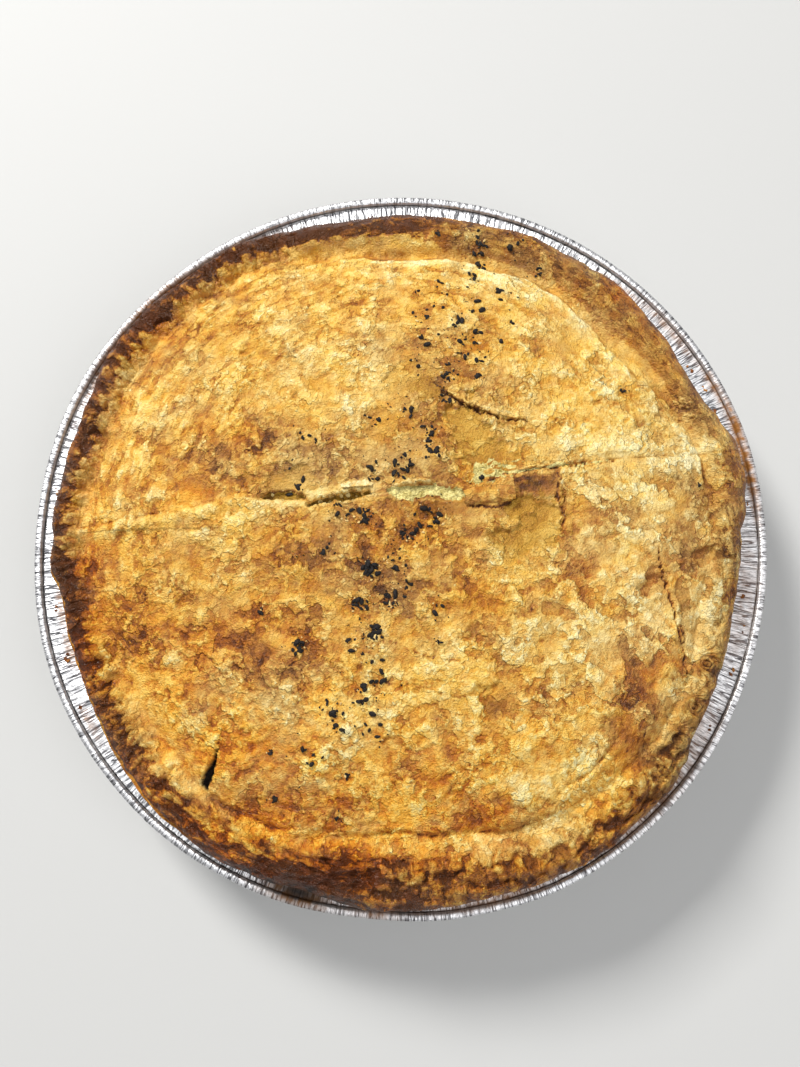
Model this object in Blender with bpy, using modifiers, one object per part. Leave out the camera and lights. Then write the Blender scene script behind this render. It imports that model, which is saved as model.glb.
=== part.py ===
"""A beef brisket pie with a puff pastry lid, in the foil tin that it was baked in.

The pie is one solid: filling, base and lid, with cracked pepper stuck to the lid. The tin is a
pressed foil dish with a crimped wall, a flat flange and a rolled bead. The origin is the middle
of the tin's flat base, and +Z is up.
"""

import math
import random

import bmesh
import bpy
from mathutils import Matrix, Vector, noise
from mathutils.bvhtree import BVHTree

MM = 0.001

# Tin
TIN_RADIUS = 116 * MM
TIN_HEIGHT = 33 * MM
BASE_RADIUS = 88 * MM
BASE_CORNER = 2.5 * MM
WALL_TOP_RADIUS = 103.5 * MM
FLANGE_END_RADIUS = 113.2 * MM
FLANGE_HEIGHT = 31.4 * MM
FOIL = 0.4 * MM
BEAD_RADIUS = 1.15 * MM
BEAD_STEPS = 5
BEAD_START = math.radians(-120)
BEAD_SWEEP = math.radians(270)
CRIMP_DEPTH = 0.45 * MM
FLANGE_WRINKLE = 0.1 * MM

# Pie
GAP = 0.3 * MM
LID_TOP = 53 * MM
GROOVE_TOP = 40.6 * MM
BORDER_RISE = 2.0 * MM
EDGE_TOP = 35.6 * MM
GROOVE_RADIUS = 94 * MM
EDGE_RADIUS = 108 * MM
DOME_FLATNESS = 2.6
DOME_SHOULDER = 0.8
BORDER_CREST = 0.45  # how far out over the border it is highest, from groove 0 to edge 1
CALM_FROM = 0.9  # past this share of the edge's radius the lumps fade
CALM_DEPTH = 0.7  # and this much of them is gone at the edge

# How far the crust reaches over the flange: degrees anticlockwise from +X, and millimetres
EDGE_OUTLINE = (
    (0, 106.3), (5, 109.0), (11, 110.6), (15, 111.0), (20, 108.0), (25, 106.1), (31, 105.9),
    (39, 107.8), (50, 109.3), (58, 108.3), (67, 108.8), (76, 107.5), (90, 107.4), (98, 106.6),
    (108, 107.6), (119, 110.6), (130, 110.2), (136, 111.2), (149, 111.2), (156, 108.9),
    (168, 108.4), (180, 109.2), (185, 110.4), (190, 107.4), (205, 107.5), (213, 108.6),
    (220, 110.2), (230, 111.4), (240, 111.2), (248, 110.4), (255, 109.6), (266, 112.0),
    (277, 111.4), (285, 111.0), (292, 112.0), (302, 112.4), (310, 111.2), (316, 111.8),
    (320, 110.0), (325, 107.4), (334, 106.5), (348, 105.3),
)

# The hollow between the domed lid and the border, in the same units
GROOVE_OUTLINE = (
    (0, 95.0), (18, 96.0), (30, 95.0), (46, 91.0), (60, 93.5), (76, 92.0), (90, 90.8),
    (102, 93.5), (122, 98.0), (142, 98.0), (160, 96.0), (176, 97.0), (192, 95.0), (206, 93.2),
    (220, 93.8), (234, 96.0), (250, 94.5), (266, 90.5), (282, 92.0), (298, 96.5), (318, 97.5),
    (332, 97.0), (346, 93.5),
)

# Lines across the lid, millimetres: the joint where the two halves of the lid meet
SEAM = (
    (-100, 1.5), (-86, 3), (-73, 5), (-60, 7), (-45, 11), (-36, 9), (-27, 8), (-18, 10), (-9, 11),
    (4, 11), (18, 11), (27, 14), (36, 17), (48, 19), (60, 21), (77, 23), (96, 25),
)
TORN_FLAKE = ((13, 42), (17, 39), (21, 37), (26, 35), (31, 33))
EDGE_CRACK = ((77, -6), (78, -11), (80, -21), (82, -28), (85, -39), (87, -47))
STEAM_SLIT = ((-54, -67), (-55, -71), (-58, -76))
CRACKS = (
    ("seam_opening", SEAM[4:13], 1.7 * MM),
    ("torn_flake", TORN_FLAKE, 1.5 * MM),
    ("edge_crack", EDGE_CRACK, 1.5 * MM),
    ("steam_slit", STEAM_SLIT, 1.8 * MM),
)
CRACK_LIFT = 0.25  # how far a crack's middle lies above the crust, as a share of its half width

# Raised folds and sunken bare patches, millimetres: ends, half width, height
FOLDS = (
    ((-92, 4), (-50, 9), 3.5, 1.2),
    ((-34, -97), (42, -97), 3.0, 1.6),
    ((-26, -89), (46, -88), 2.5, -1.6),
    ((66, -44), (84, -64), 4.0, 1.6),
    ((14, 30), (22, 26), 7.0, -0.9),
    ((38, 10), (40, 2), 8.0, -1.0),
)
SEAM_DIP = 1.1 * MM
SEAM_DIP_WIDTH = 2.6 * MM
LUMP_HEIGHT = 1.1 * MM
LUMP_SIZE = 17 * MM
SMALL_LUMP_SHARE = 0.4
CRIMP_FOLD_HEIGHT = 0.8 * MM
CRIMP_FOLD_MIDDLE = math.radians(150)
CRIMP_FOLD_SPREAD = math.radians(62)
CRIMP_FOLD_FULLNESS = 1.6

# Cracked pepper, millimetres: middle x, middle y, spread, number of grains
PEPPER_CLUSTERS = (
    (26, 93, 2.5, 4), (24, 98, 2, 1), (38, 94, 3, 2), (26, 87, 3, 2), (44, 86, 2, 2),
    (22, 81, 3, 2), (12, 80, 2, 1), (5, 77, 1, 1), (33, 76, 3, 2), (12, 74, 4, 1),
    (24, 70, 3, 2), (6, 68, 3, 2), (35, 65, 1, 1), (18, 64, 3, 3), (9, 60, 3, 2),
    (25, 60, 3, 2), (31, 58, 1, 1), (19, 56, 3, 2), (25, 53, 2, 1), (15, 48, 3, 4),
    (24, 47, 1, 1), (5, 51, 2, 1),
    (14, 40, 2, 2), (2, 36, 3, 2), (-9, 34, 3, 2), (8, 29, 3, 3), (-28, 27, 3, 2), (9, 23, 3, 4),
    (1, 19, 3, 4), (-8, 17, 3, 2), (0, 15, 3, 2), (-32, 14, 4, 2), (-17, 5, 3, 2), (8, 3, 4, 5),
    (-11, 3, 2.5, 4), (2, -2, 3, 4), (-22, -6, 4, 2), (-1, -10, 3, 3), (-9, -13, 2.5, 6),
    (1, -18, 3, 2), (11, -24, 2, 1), (-3, -21, 2.5, 5), (-12, -23, 2.5, 4), (-7, -31, 2.5, 5),
    (-40, -25, 1, 1), (-30, -35, 2, 4), (11, -33, 1, 1), (-13, -35, 3, 2), (-7, -42, 4, 3),
    (-13, -49, 4, 3), (-22, -51, 2, 1), (-18, -56, 3, 3), (-8, -57, 4, 2), (-26, -67, 4, 2),
    (-38, -65, 1, 1), (-15, -72, 1, 1), (-37, -79, 1, 1), (-18, -84, 1, 1), (69, 44, 1, 1),
)
GRAIN_RADIUS_RANGE = (0.85 * MM, 1.3 * MM)
GRAIN_SIDES = 5
GRAIN_TALLNESS = 1.3
GRAIN_TAPER = 0.7
GRAIN_STRETCH = (1.25, 0.85, 1)
GRAIN_CORNER_RANGE = (0.8, 1.15)
GRAIN_SINK = 0.35
GRAIN_CLEARANCE = 3.2 * MM
GRAIN_SPACING = 0.9
TRIES_PER_GRAIN = 12
PEPPER_SEED = 11

# Fineness of the solids
SLIVER = 0.02 * MM
WELD = 0.01 * MM
SHARP_ANGLE = math.radians(40)
TURN_STEPS = 112
LID_RINGS = (0.13, 0.26, 0.38, 0.49, 0.59, 0.68, 0.76, 0.83, 0.895, 0.95)
BORDER_RINGS = (0.0, 0.16, 0.34, 0.55, 0.74, 0.9, 1.0)


def smooth_step(value):
    value = min(max(value, 0.0), 1.0)
    return value * value * (3 - 2 * value)


def outline_radius(outline, angle):
    """The radius of a closed outline at an angle, eased from each point to the next."""
    degrees = math.degrees(angle) % 360
    points = outline + ((360 + outline[0][0], outline[0][1]),)
    for (angle_a, radius_a), (angle_b, radius_b) in zip(points, points[1:]):
        if angle_a <= degrees <= angle_b:
            share = smooth_step((degrees - angle_a) / (angle_b - angle_a))
            return (radius_a + (radius_b - radius_a) * share) * MM
    return outline[0][1] * MM


def distance_to_line(x, y, line):
    """How far a point lies from a broken line given in millimetres."""
    nearest = 1.0
    for (ax, ay), (bx, by) in zip(line, line[1:]):
        start = Vector((ax * MM, ay * MM))
        along = Vector((bx * MM, by * MM)) - start
        offset = Vector((x, y)) - start
        share = min(max(offset.dot(along) / along.length_squared, 0.0), 1.0)
        nearest = min(nearest, (offset - along * share).length)
    return nearest


def crimp_fold(angle, share):
    """The finger-made folds on the left of the border, strongest between groove and edge."""
    turn = abs(angle % math.tau - CRIMP_FOLD_MIDDLE)
    strength = smooth_step(CRIMP_FOLD_FULLNESS * (1 - turn / CRIMP_FOLD_SPREAD))
    strength *= math.sin(math.pi * share)
    return CRIMP_FOLD_HEIGHT * strength * math.cos(TURN_STEPS / 2 * angle)


def crust_height(x, y):
    """The height of the crust's upper surface over a point of the tin's base."""
    radius = math.hypot(x, y)
    angle = math.atan2(y, x)
    groove = outline_radius(GROOVE_OUTLINE, angle)
    edge = outline_radius(EDGE_OUTLINE, angle)
    if radius <= groove:
        fall = max(1 - (radius / groove) ** DOME_FLATNESS, 0.0) ** DOME_SHOULDER
        height = GROOVE_TOP + (LID_TOP - GROOVE_TOP) * fall
    else:
        share = min((radius - groove) / (edge - groove), 1.0)
        fall = max(share - BORDER_CREST, 0.0) / (1 - BORDER_CREST)
        shoulder = math.sqrt(max(1 - fall ** 2, 0.0))
        rise = BORDER_RISE * smooth_step(share / BORDER_CREST)
        height = EDGE_TOP + (GROOVE_TOP + rise - EDGE_TOP) * shoulder
        height += crimp_fold(angle, share)
    calm = 1 - CALM_DEPTH * smooth_step((radius / edge - CALM_FROM) / (1 - CALM_FROM))
    for share in (1, SMALL_LUMP_SHARE):
        lump = noise.noise(Vector((x, y, 1 - share)) / (share * LUMP_SIZE))
        height += share * LUMP_HEIGHT * calm * lump
    seam_share = distance_to_line(x, y, SEAM) / SEAM_DIP_WIDTH
    height -= SEAM_DIP * math.exp(-seam_share ** 2)
    for start, end, half_width, lift in FOLDS:
        fold_share = distance_to_line(x, y, (start, end)) / (half_width * MM)
        height += lift * MM * math.exp(-fold_share ** 2)
    return height


def new_material(name, colour, roughness, metallic):
    material = bpy.data.materials.new(name)
    material.use_nodes = True
    shader = material.node_tree.nodes["Principled BSDF"]
    shader.inputs["Base Color"].default_value = (*colour, 1)
    shader.inputs["Roughness"].default_value = roughness
    shader.inputs["Metallic"].default_value = metallic
    return material


def turned(name, profile, collection):
    """A body turned about Z from a profile of radius and height, as a plain mesh."""
    line = bpy.data.meshes.new(name + "_profile")
    edges = [(i, i + 1) for i in range(len(profile) - 1)]
    line.from_pydata([(radius, 0, height) for radius, height in profile], edges, [])
    body = bpy.data.objects.new(name, line)
    collection.objects.link(body)
    screw = body.modifiers.new("Turn", "SCREW")
    screw.steps = TURN_STEPS
    screw.render_steps = TURN_STEPS
    screw.use_merge_vertices = True
    screw.merge_threshold = WELD
    apply_modifiers(body)
    return body


def apply_modifiers(body):
    """Replaces an object's mesh by what its modifiers make of it."""
    bpy.context.view_layer.update()
    graph = bpy.context.evaluated_depsgraph_get()
    made = bpy.data.meshes.new_from_object(body.evaluated_get(graph))
    body.modifiers.clear()
    body.data = made


def tidy_mesh(mesh):
    """Closes the hair-thin slivers that the cuts and joins leave between close points."""
    surface = bmesh.new()
    surface.from_mesh(mesh)
    bmesh.ops.remove_doubles(surface, verts=surface.verts, dist=SLIVER)
    bmesh.ops.dissolve_degenerate(surface, dist=SLIVER, edges=surface.edges)
    surface.to_mesh(mesh)
    surface.free()


def tin_section():
    """The foil's closed section, from the middle of its underside round the bead to the top."""
    half = FOIL / 2
    lean = math.atan2(FLANGE_HEIGHT - BASE_CORNER, WALL_TOP_RADIUS - BASE_RADIUS)
    out = Vector((math.sin(lean), -math.cos(lean))) * half
    bead = Vector((TIN_RADIUS - BEAD_RADIUS, TIN_HEIGHT - BEAD_RADIUS))
    under = [
        (0, 0),
        (BASE_RADIUS - BASE_CORNER, 0),
        (BASE_RADIUS + out.x, BASE_CORNER + out.y),
        (WALL_TOP_RADIUS + out.x, FLANGE_HEIGHT - half),
        (FLANGE_END_RADIUS, FLANGE_HEIGHT - half),
    ]
    arc = []
    for i in range(BEAD_STEPS + 1):
        angle = BEAD_START + BEAD_SWEEP * i / BEAD_STEPS
        arc.append((bead.x + BEAD_RADIUS * math.cos(angle), bead.y + BEAD_RADIUS * math.sin(angle)))
    over = [
        (FLANGE_END_RADIUS, FLANGE_HEIGHT + half),
        (WALL_TOP_RADIUS - out.x, FLANGE_HEIGHT + half),
        (BASE_RADIUS - out.x, BASE_CORNER - out.y),
        (BASE_RADIUS - BASE_CORNER, FOIL),
        (0, FOIL),
    ]
    return under + arc + over


def crimp_tin(mesh):
    """Presses the wall into upright crimps, which run out over the flange."""
    for vertex in mesh.vertices:
        radius = math.hypot(vertex.co.x, vertex.co.y)
        if radius < BASE_RADIUS + BASE_CORNER or radius > FLANGE_END_RADIUS - FOIL:
            continue
        step = round(math.atan2(vertex.co.y, vertex.co.x) / math.tau * TURN_STEPS)
        way = 1 if step % 2 else -1
        scale = 1 + way * CRIMP_DEPTH / 2 / radius
        vertex.co.x *= scale
        vertex.co.y *= scale
        vertex.co.z += way * FLANGE_WRINKLE / 2


def make_tin(collection):
    section = tin_section()
    tin = turned("foil_tin", section[::-1], collection)
    crimp_tin(tin.data)
    tin.data.materials.append(new_material("foil", (0.78, 0.79, 0.81), 0.28, 1.0))
    tin.data.shade_smooth()
    tin.data.set_sharp_from_angle(angle=SHARP_ANGLE)
    return tin


def pie_profile():
    """The pie's nominal profile, from the top of the dome out over the border and back under."""
    clear = GAP + FOIL + CRIMP_DEPTH / 2
    under_border = FLANGE_HEIGHT + FOIL / 2 + FLANGE_WRINKLE / 2 + GAP
    top = [(0, LID_TOP)]
    top += [(GROOVE_RADIUS * share, LID_TOP) for share in LID_RINGS]
    width = EDGE_RADIUS - GROOVE_RADIUS
    top += [(GROOVE_RADIUS + width * share, LID_TOP) for share in BORDER_RINGS]
    below = [
        (EDGE_RADIUS, under_border),
        (WALL_TOP_RADIUS - clear, under_border),
        (BASE_RADIUS - clear, BASE_CORNER + clear),
        (BASE_RADIUS - BASE_CORNER - clear, FOIL + GAP),
        (0, FOIL + GAP),
    ]
    return top + below


def shape_pie(mesh):
    """Moves the turned profile out to the crust's uneven outline and up to its surface."""
    for vertex in mesh.vertices:
        radius = math.hypot(vertex.co.x, vertex.co.y)
        on_top = vertex.co.z > EDGE_TOP
        angle = math.atan2(vertex.co.y, vertex.co.x)
        groove = outline_radius(GROOVE_OUTLINE, angle)
        edge = outline_radius(EDGE_OUTLINE, angle)
        if on_top and radius <= GROOVE_RADIUS:
            real = radius * groove / GROOVE_RADIUS
        elif on_top or radius > WALL_TOP_RADIUS:
            share = (radius - GROOVE_RADIUS) / (EDGE_RADIUS - GROOVE_RADIUS)
            real = groove + (edge - groove) * share
        else:
            continue
        vertex.co.x = real * math.cos(angle)
        vertex.co.y = real * math.sin(angle)
        if on_top:
            vertex.co.z = crust_height(vertex.co.x, vertex.co.y)
    surface = bmesh.new()
    surface.from_mesh(mesh)
    bmesh.ops.triangulate(surface, faces=surface.faces)
    surface.to_mesh(mesh)
    surface.free()


def crack_cutter(name, line, width, collection):
    """A long cutter of square section on its corner, so that it leaves a V along a crack."""
    curve = bpy.data.curves.new(name, "CURVE")
    curve.dimensions = "3D"
    curve.bevel_depth = width
    curve.bevel_resolution = 0
    curve.use_fill_caps = True
    spline = curve.splines.new("POLY")
    spline.points.add(len(line) - 1)
    for point, (x, y) in zip(spline.points, line):
        point.co = (x * MM, y * MM, crust_height(x * MM, y * MM) + CRACK_LIFT * width, 1)
    guide = bpy.data.objects.new(name + "_guide", curve)
    collection.objects.link(guide)
    bpy.context.view_layer.update()
    graph = bpy.context.evaluated_depsgraph_get()
    mesh = bpy.data.meshes.new_from_object(guide.evaluated_get(graph))
    bpy.data.objects.remove(guide)
    shell = bmesh.new()
    shell.from_mesh(mesh)
    bmesh.ops.remove_doubles(shell, verts=shell.verts, dist=WELD)
    bmesh.ops.recalc_face_normals(shell, faces=shell.faces)
    shell.to_mesh(mesh)
    shell.free()
    cutter = bpy.data.objects.new(name, mesh)
    cutter.hide_render = True
    cutter.display_type = "WIRE"
    collection.objects.link(cutter)
    return cutter


def cut_cracks(pie, collection):
    """Opens the seam, the torn flake, the crack by the border and the steam slit."""
    for name, line, width in CRACKS:
        cutter = crack_cutter(name, line, width, collection)
        cut = pie.modifiers.new(name, "BOOLEAN")
        cut.operation = "DIFFERENCE"
        cut.solver = "EXACT"
        cut.object = cutter
    apply_modifiers(pie)
    tidy_mesh(pie.data)


def grain_places():
    """Seeded places and sizes of the pepper grains, clear of the cracks and of each other."""
    draw = random.Random(PEPPER_SEED)
    places = []
    for middle_x, middle_y, spread, count in PEPPER_CLUSTERS:
        placed = 0
        for _ in range(count * TRIES_PER_GRAIN):
            angle = draw.uniform(0, math.tau)
            reach = spread * MM * math.sqrt(draw.random())
            x = middle_x * MM + reach * math.cos(angle)
            y = middle_y * MM + reach * math.sin(angle)
            radius = draw.uniform(*GRAIN_RADIUS_RANGE)
            if min(distance_to_line(x, y, line) for _, line, _ in CRACKS) < GRAIN_CLEARANCE:
                continue
            if any(math.hypot(x - a, y - b) < GRAIN_SPACING * (radius + c) for a, b, c in places):
                continue
            places.append((x, y, radius))
            placed += 1
            if placed == count:
                break
    return places


def grain_mesh(name, radius, draw):
    """A five-sided shard with uneven corners, as a cracked peppercorn breaks."""
    shard = bmesh.new()
    bmesh.ops.create_cone(
        shard, cap_ends=True, segments=GRAIN_SIDES, radius1=radius,
        radius2=GRAIN_TAPER * radius, depth=GRAIN_TALLNESS * radius,
    )
    for vertex in shard.verts:
        vertex.co *= draw.uniform(*GRAIN_CORNER_RANGE)
    mesh = bpy.data.meshes.new(name)
    shard.to_mesh(mesh)
    shard.free()
    return mesh


def add_grains(pie, collection):
    """Fuses angular pepper grains to the lid, each sunk a little into it."""
    draw = random.Random(PEPPER_SEED + 1)
    surface = BVHTree.FromPolygons(
        [vertex.co for vertex in pie.data.vertices],
        [polygon.vertices for polygon in pie.data.polygons],
    )
    for number, (x, y, radius) in enumerate(grain_places()):
        lid, slope, _, _ = surface.ray_cast(Vector((x, y, 2 * LID_TOP)), Vector((0, 0, -1)))
        name = f"grain_{number}"
        body = bpy.data.objects.new(name, grain_mesh(name, radius, draw))
        body.scale = GRAIN_STRETCH
        spin = Matrix.Rotation(draw.uniform(0, math.tau), 3, "Z")
        body.rotation_euler = (slope.to_track_quat("Z", "Y").to_matrix() @ spin).to_euler()
        body.location = lid + slope * GRAIN_TALLNESS * radius * (0.5 - GRAIN_SINK)
        collection.objects.link(body)
    union = pie.modifiers.new("pepper", "BOOLEAN")
    union.operation = "UNION"
    union.solver = "MANIFOLD"
    union.operand_type = "COLLECTION"
    union.collection = collection
    apply_modifiers(pie)
    tidy_mesh(pie.data)
    for body in list(collection.objects):
        bpy.data.objects.remove(body)


def make_pie(collection, cutters, grains):
    pie = turned("pie", pie_profile(), collection)
    shape_pie(pie.data)
    cut_cracks(pie, cutters)
    add_grains(pie, grains)
    pie.data.materials.clear()
    pie.data.materials.append(new_material("pastry", (0.62, 0.34, 0.11), 0.62, 0.0))
    pie.data.shade_smooth()
    pie.data.set_sharp_from_angle(angle=SHARP_ANGLE)
    return pie


def new_collection(name):
    collection = bpy.data.collections.new(name)
    bpy.context.scene.collection.children.link(collection)
    return collection


def main():
    for old in list(bpy.data.objects):
        bpy.data.objects.remove(old)
    parts = new_collection("brisket_pie")
    cutters = new_collection("cutters")
    grains = new_collection("grains")
    make_tin(parts)
    make_pie(parts, cutters, grains)
    bpy.data.collections.remove(grains)


main()
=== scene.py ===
# %% [markdown]
# # A beef brisket pie in its foil tin
#
# A family pie: a round foil tin, a puff pastry lid with a browned, finger-crimped border, a seam
# that opened while it baked, and a band of cracked pepper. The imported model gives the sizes. Here
# every surface gets the detail that a baked crust and crumpled foil really have.

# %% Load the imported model
import math
import random

import bpy
import numpy as np
from mathutils import Matrix, Vector
from mathutils.bvhtree import BVHTree


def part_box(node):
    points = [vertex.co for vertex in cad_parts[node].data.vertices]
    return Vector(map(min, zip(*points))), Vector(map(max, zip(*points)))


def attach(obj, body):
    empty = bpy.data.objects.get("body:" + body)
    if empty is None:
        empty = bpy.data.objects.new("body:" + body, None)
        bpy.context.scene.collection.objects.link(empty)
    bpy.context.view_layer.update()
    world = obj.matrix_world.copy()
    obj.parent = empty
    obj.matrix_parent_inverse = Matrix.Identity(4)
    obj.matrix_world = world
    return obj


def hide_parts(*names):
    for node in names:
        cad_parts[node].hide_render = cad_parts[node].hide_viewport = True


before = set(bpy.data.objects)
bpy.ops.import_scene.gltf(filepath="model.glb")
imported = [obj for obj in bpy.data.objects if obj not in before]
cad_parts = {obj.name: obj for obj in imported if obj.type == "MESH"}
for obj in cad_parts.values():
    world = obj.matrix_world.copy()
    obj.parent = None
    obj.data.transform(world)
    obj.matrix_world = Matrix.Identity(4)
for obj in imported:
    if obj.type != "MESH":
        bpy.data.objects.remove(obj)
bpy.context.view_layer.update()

MM = 0.001
_, PIE_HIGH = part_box("pie")
TIN_LOW, TIN_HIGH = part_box("foil_tin")

# %% [markdown]
# ## The camera
#
# The pie was photographed from nearly straight above with a phone: a wide lens, about 27 cm over
# the rim, leaning back a little towards the near edge. The lens and the place come first, because
# how fine the crust must be depends on how close the camera is.

# %% Camera
LENS = 29.1
CAMERA_PLACE = Vector((-0.16, -41.2, 303.4)) * MM
CAMERA_LEAN = math.radians(8.9)

bpy.ops.object.camera_add(location=CAMERA_PLACE, rotation=(CAMERA_LEAN, 0, 0))
camera = bpy.context.object
camera.data.lens = LENS
camera.data.sensor_width = 36
bpy.context.scene.camera = camera
print("camera", round(CAMERA_PLACE.z / MM), "mm above the table")

# %% [markdown]
# ## Noise to shape a crust with
#
# Pastry is uneven at every size from a hand's width down to a grain of salt. Smooth gradient
# noise, summed over a few sizes, gives that. It is written in numpy, so that hundreds of
# thousands of points are worked out at once, and it always gives the same crust.

# %% Gradient noise
def lattice_turn(column, row, seed):
    """A fixed random direction, 0 to a full turn, for each corner of the noise lattice."""
    mixed = column * 374761393 + row * 668265263 + seed * 1442695041
    mixed = mixed & 0xFFFFFFFF
    mixed = ((mixed ^ (mixed >> 13)) * 1274126177) & 0xFFFFFFFF
    mixed = mixed ^ (mixed >> 16)
    return mixed / 4294967296 * math.tau


def noise(x, y, seed):
    """Smooth noise between about -1 and 1, with one hill or hollow for each unit."""
    column = np.floor(x).astype(np.int64)
    row = np.floor(y).astype(np.int64)
    across = x - column
    up = y - row
    ease_x = across ** 3 * (across * (across * 6 - 15) + 10)
    ease_y = up ** 3 * (up * (up * 6 - 15) + 10)
    corners = []
    for step_y in (0, 1):
        for step_x in (0, 1):
            turn = lattice_turn(column + step_x, row + step_y, seed)
            corners.append(np.cos(turn) * (across - step_x) + np.sin(turn) * (up - step_y))
    low = corners[0] + (corners[1] - corners[0]) * ease_x
    high = corners[2] + (corners[3] - corners[2]) * ease_x
    return 1.5 * (low + (high - low) * ease_y)


def layered(x, y, seed, layers=4, gain=0.5):
    """Noise of several sizes on top of each other, each half as large as the one before."""
    total = 0
    weight = 1
    for layer in range(layers):
        total = total + weight * noise(x * 2 ** layer, y * 2 ** layer, seed + 17 * layer)
        weight *= gain
    return total


def ramp(value, low, high):
    """0 below low, 1 above high, and eased between them."""
    share = np.clip((value - low) / (high - low), 0, 1)
    return share * share * (3 - 2 * share)


# %% Cells, for blisters and flakes
def cells(x, y, seed):
    """Distance to the nearest of scattered middles, to the next nearest, and the cell's number."""
    column = np.floor(x).astype(np.int64)
    row = np.floor(y).astype(np.int64)
    nearest = np.full(x.shape, 9.0)
    second = np.full(x.shape, 9.0)
    number = np.zeros(x.shape)
    for step_y in (-1, 0, 1):
        for step_x in (-1, 0, 1):
            turn = lattice_turn(column + step_x, row + step_y, seed)
            middle_x = column + step_x + 0.5 + 0.45 * np.cos(turn)
            middle_y = row + step_y + 0.5 + 0.45 * np.sin(turn * 7)
            distance = np.hypot(x - middle_x, y - middle_y)
            closer = distance < nearest
            second = np.where(closer, nearest, np.minimum(second, distance))
            number = np.where(closer, turn / math.tau, number)
            nearest = np.where(closer, distance, nearest)
    return nearest, second, number


# %% Hills, patches and ragged places
def hill(distance, width):
    """1 at no distance, falling off softly on both sides."""
    return np.exp(-(distance / width) ** 2)


def polar(x, y):
    """Distance from the middle, and the angle in degrees from 0 to 360."""
    return np.hypot(x, y), np.mod(np.degrees(np.arctan2(y, x)), 360)


def oval(x, y, patch):
    """How far out each point lies from an oval patch: 0 in its middle, 1 at its reach."""
    middle_x, middle_y, reach_x, reach_y = patch[:4]
    return np.hypot((x - middle_x) / reach_x, (y - middle_y) / reach_y)


def spread(x, y, patches, start=0):
    """Adds up soft oval patches, each with its place, reach and amount, on top of a start value."""
    total = start
    for patch in patches:
        total = total + patch[4] * hill(oval(x, y, patch), 1)
    return total


def shaken(x, y, *shakes):
    """The place moved about by noise: each shake has a reach and a size in mm, and two seeds."""
    moved_x, moved_y = x, y
    for reach, size, seed_x, seed_y in shakes:
        moved_x = moved_x + reach * noise(x / size, y / size, seed_x)
        moved_y = moved_y + reach * noise(x / size, y / size, seed_y)
    return moved_x, moved_y


# %% [markdown]
# ## The plan of the lid
#
# The border of the real crust was pinched over the flange by hand, so it swells out in places and
# draws back in others. Two closed outlines hold that: where the crust ends, and where the border
# meets the dome. The seam, tears and folds are lines across the lid, in millimetres from its
# middle.

# %% Outlines
EDGE_OUTLINE = (
    (0, 106.3), (5, 109.0), (11, 110.6), (15, 111.0), (20, 108.0), (25, 106.1), (31, 105.9),
    (39, 107.8), (50, 109.3), (58, 108.3), (67, 108.8), (76, 107.5), (90, 107.4), (98, 106.6),
    (108, 107.6), (119, 110.6), (130, 110.2), (136, 111.2), (149, 111.2), (156, 108.9),
    (168, 108.4), (180, 109.2), (185, 110.4), (190, 107.4), (205, 107.5), (213, 108.6),
    (220, 110.2), (230, 111.4), (240, 111.2), (248, 110.4), (255, 109.6), (266, 112.0),
    (277, 111.4), (285, 111.0), (292, 112.0), (302, 112.4), (310, 111.2), (316, 111.8),
    (320, 110.0), (325, 107.4), (334, 106.5), (348, 105.3),
)
GROOVE_OUTLINE = (
    (0, 95.0), (18, 96.0), (30, 95.0), (46, 91.0), (60, 93.5), (76, 92.0), (90, 90.8),
    (102, 93.5), (122, 98.0), (142, 98.0), (160, 96.0), (176, 97.0), (192, 95.0), (206, 93.2),
    (220, 93.8), (234, 96.0), (250, 94.5), (266, 90.5), (282, 92.0), (298, 96.5), (318, 97.5),
    (332, 97.0), (346, 93.5),
)
DOME_EDGE = (
    (0, 96.0), (15, 96.0), (25, 92.0), (35, 87.6), (44, 88.6), (53, 90.6), (62, 91.6), (78, 90.4),
    (90, 88.8), (104, 91.5), (130, 96.5), (340, 94.0),
)


def outline_radius(outline, degrees):
    """The outline's radius in mm at each angle, eased from one point to the next."""
    angles = np.array([a for a, _ in outline] + [360 + outline[0][0]], float)
    radii = np.array([r for _, r in outline] + [outline[0][1]], float)
    degrees = np.mod(degrees, 360)
    step = np.clip(np.searchsorted(angles, degrees, side="right") - 1, 0, len(outline) - 1)
    share = ramp(degrees, angles[step], angles[step + 1])
    return radii[step] + (radii[step + 1] - radii[step]) * share


def edge_radius(degrees):
    """Where the crust ends at each angle in mm, with the small waves of a hand-trimmed edge."""
    turn = np.radians(degrees)
    waves = 0.35 * noise(11 * np.cos(turn), 11 * np.sin(turn), 6)
    nicks = 0.3 * noise(30 * np.cos(turn), 26 * np.sin(turn), 5)
    return outline_radius(EDGE_OUTLINE, degrees) + waves + nicks


print("crust reaches", round(float(outline_radius(EDGE_OUTLINE, np.arange(360)).mean()), 1), "mm")

# %% Seam, tears and folds
SEAM = (
    (-112, 1.5), (-100, 1.5), (-86, 3), (-73, 5), (-60, 7), (-45, 11), (-36, 9), (-27, 8),
    (-18, 10), (-9, 11), (4, 11), (18, 11), (27, 14), (36, 17), (48, 19), (60, 21), (77, 23),
    (96, 25), (112, 27),
)
TORN_FLAKE = ((10, 45), (13, 42), (17, 39), (21, 37), (26, 35), (31, 33), (38, 33))
EDGE_CRACK = ((77, -5), (78, -11), (80, -16), (81, -22), (83, -29), (85, -39), (87, -47))
STEAM_SLIT = ((-53.4, -64.5), (-54.2, -67.5), (-55.6, -71), (-57.2, -74), (-57, -76.6))


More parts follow.
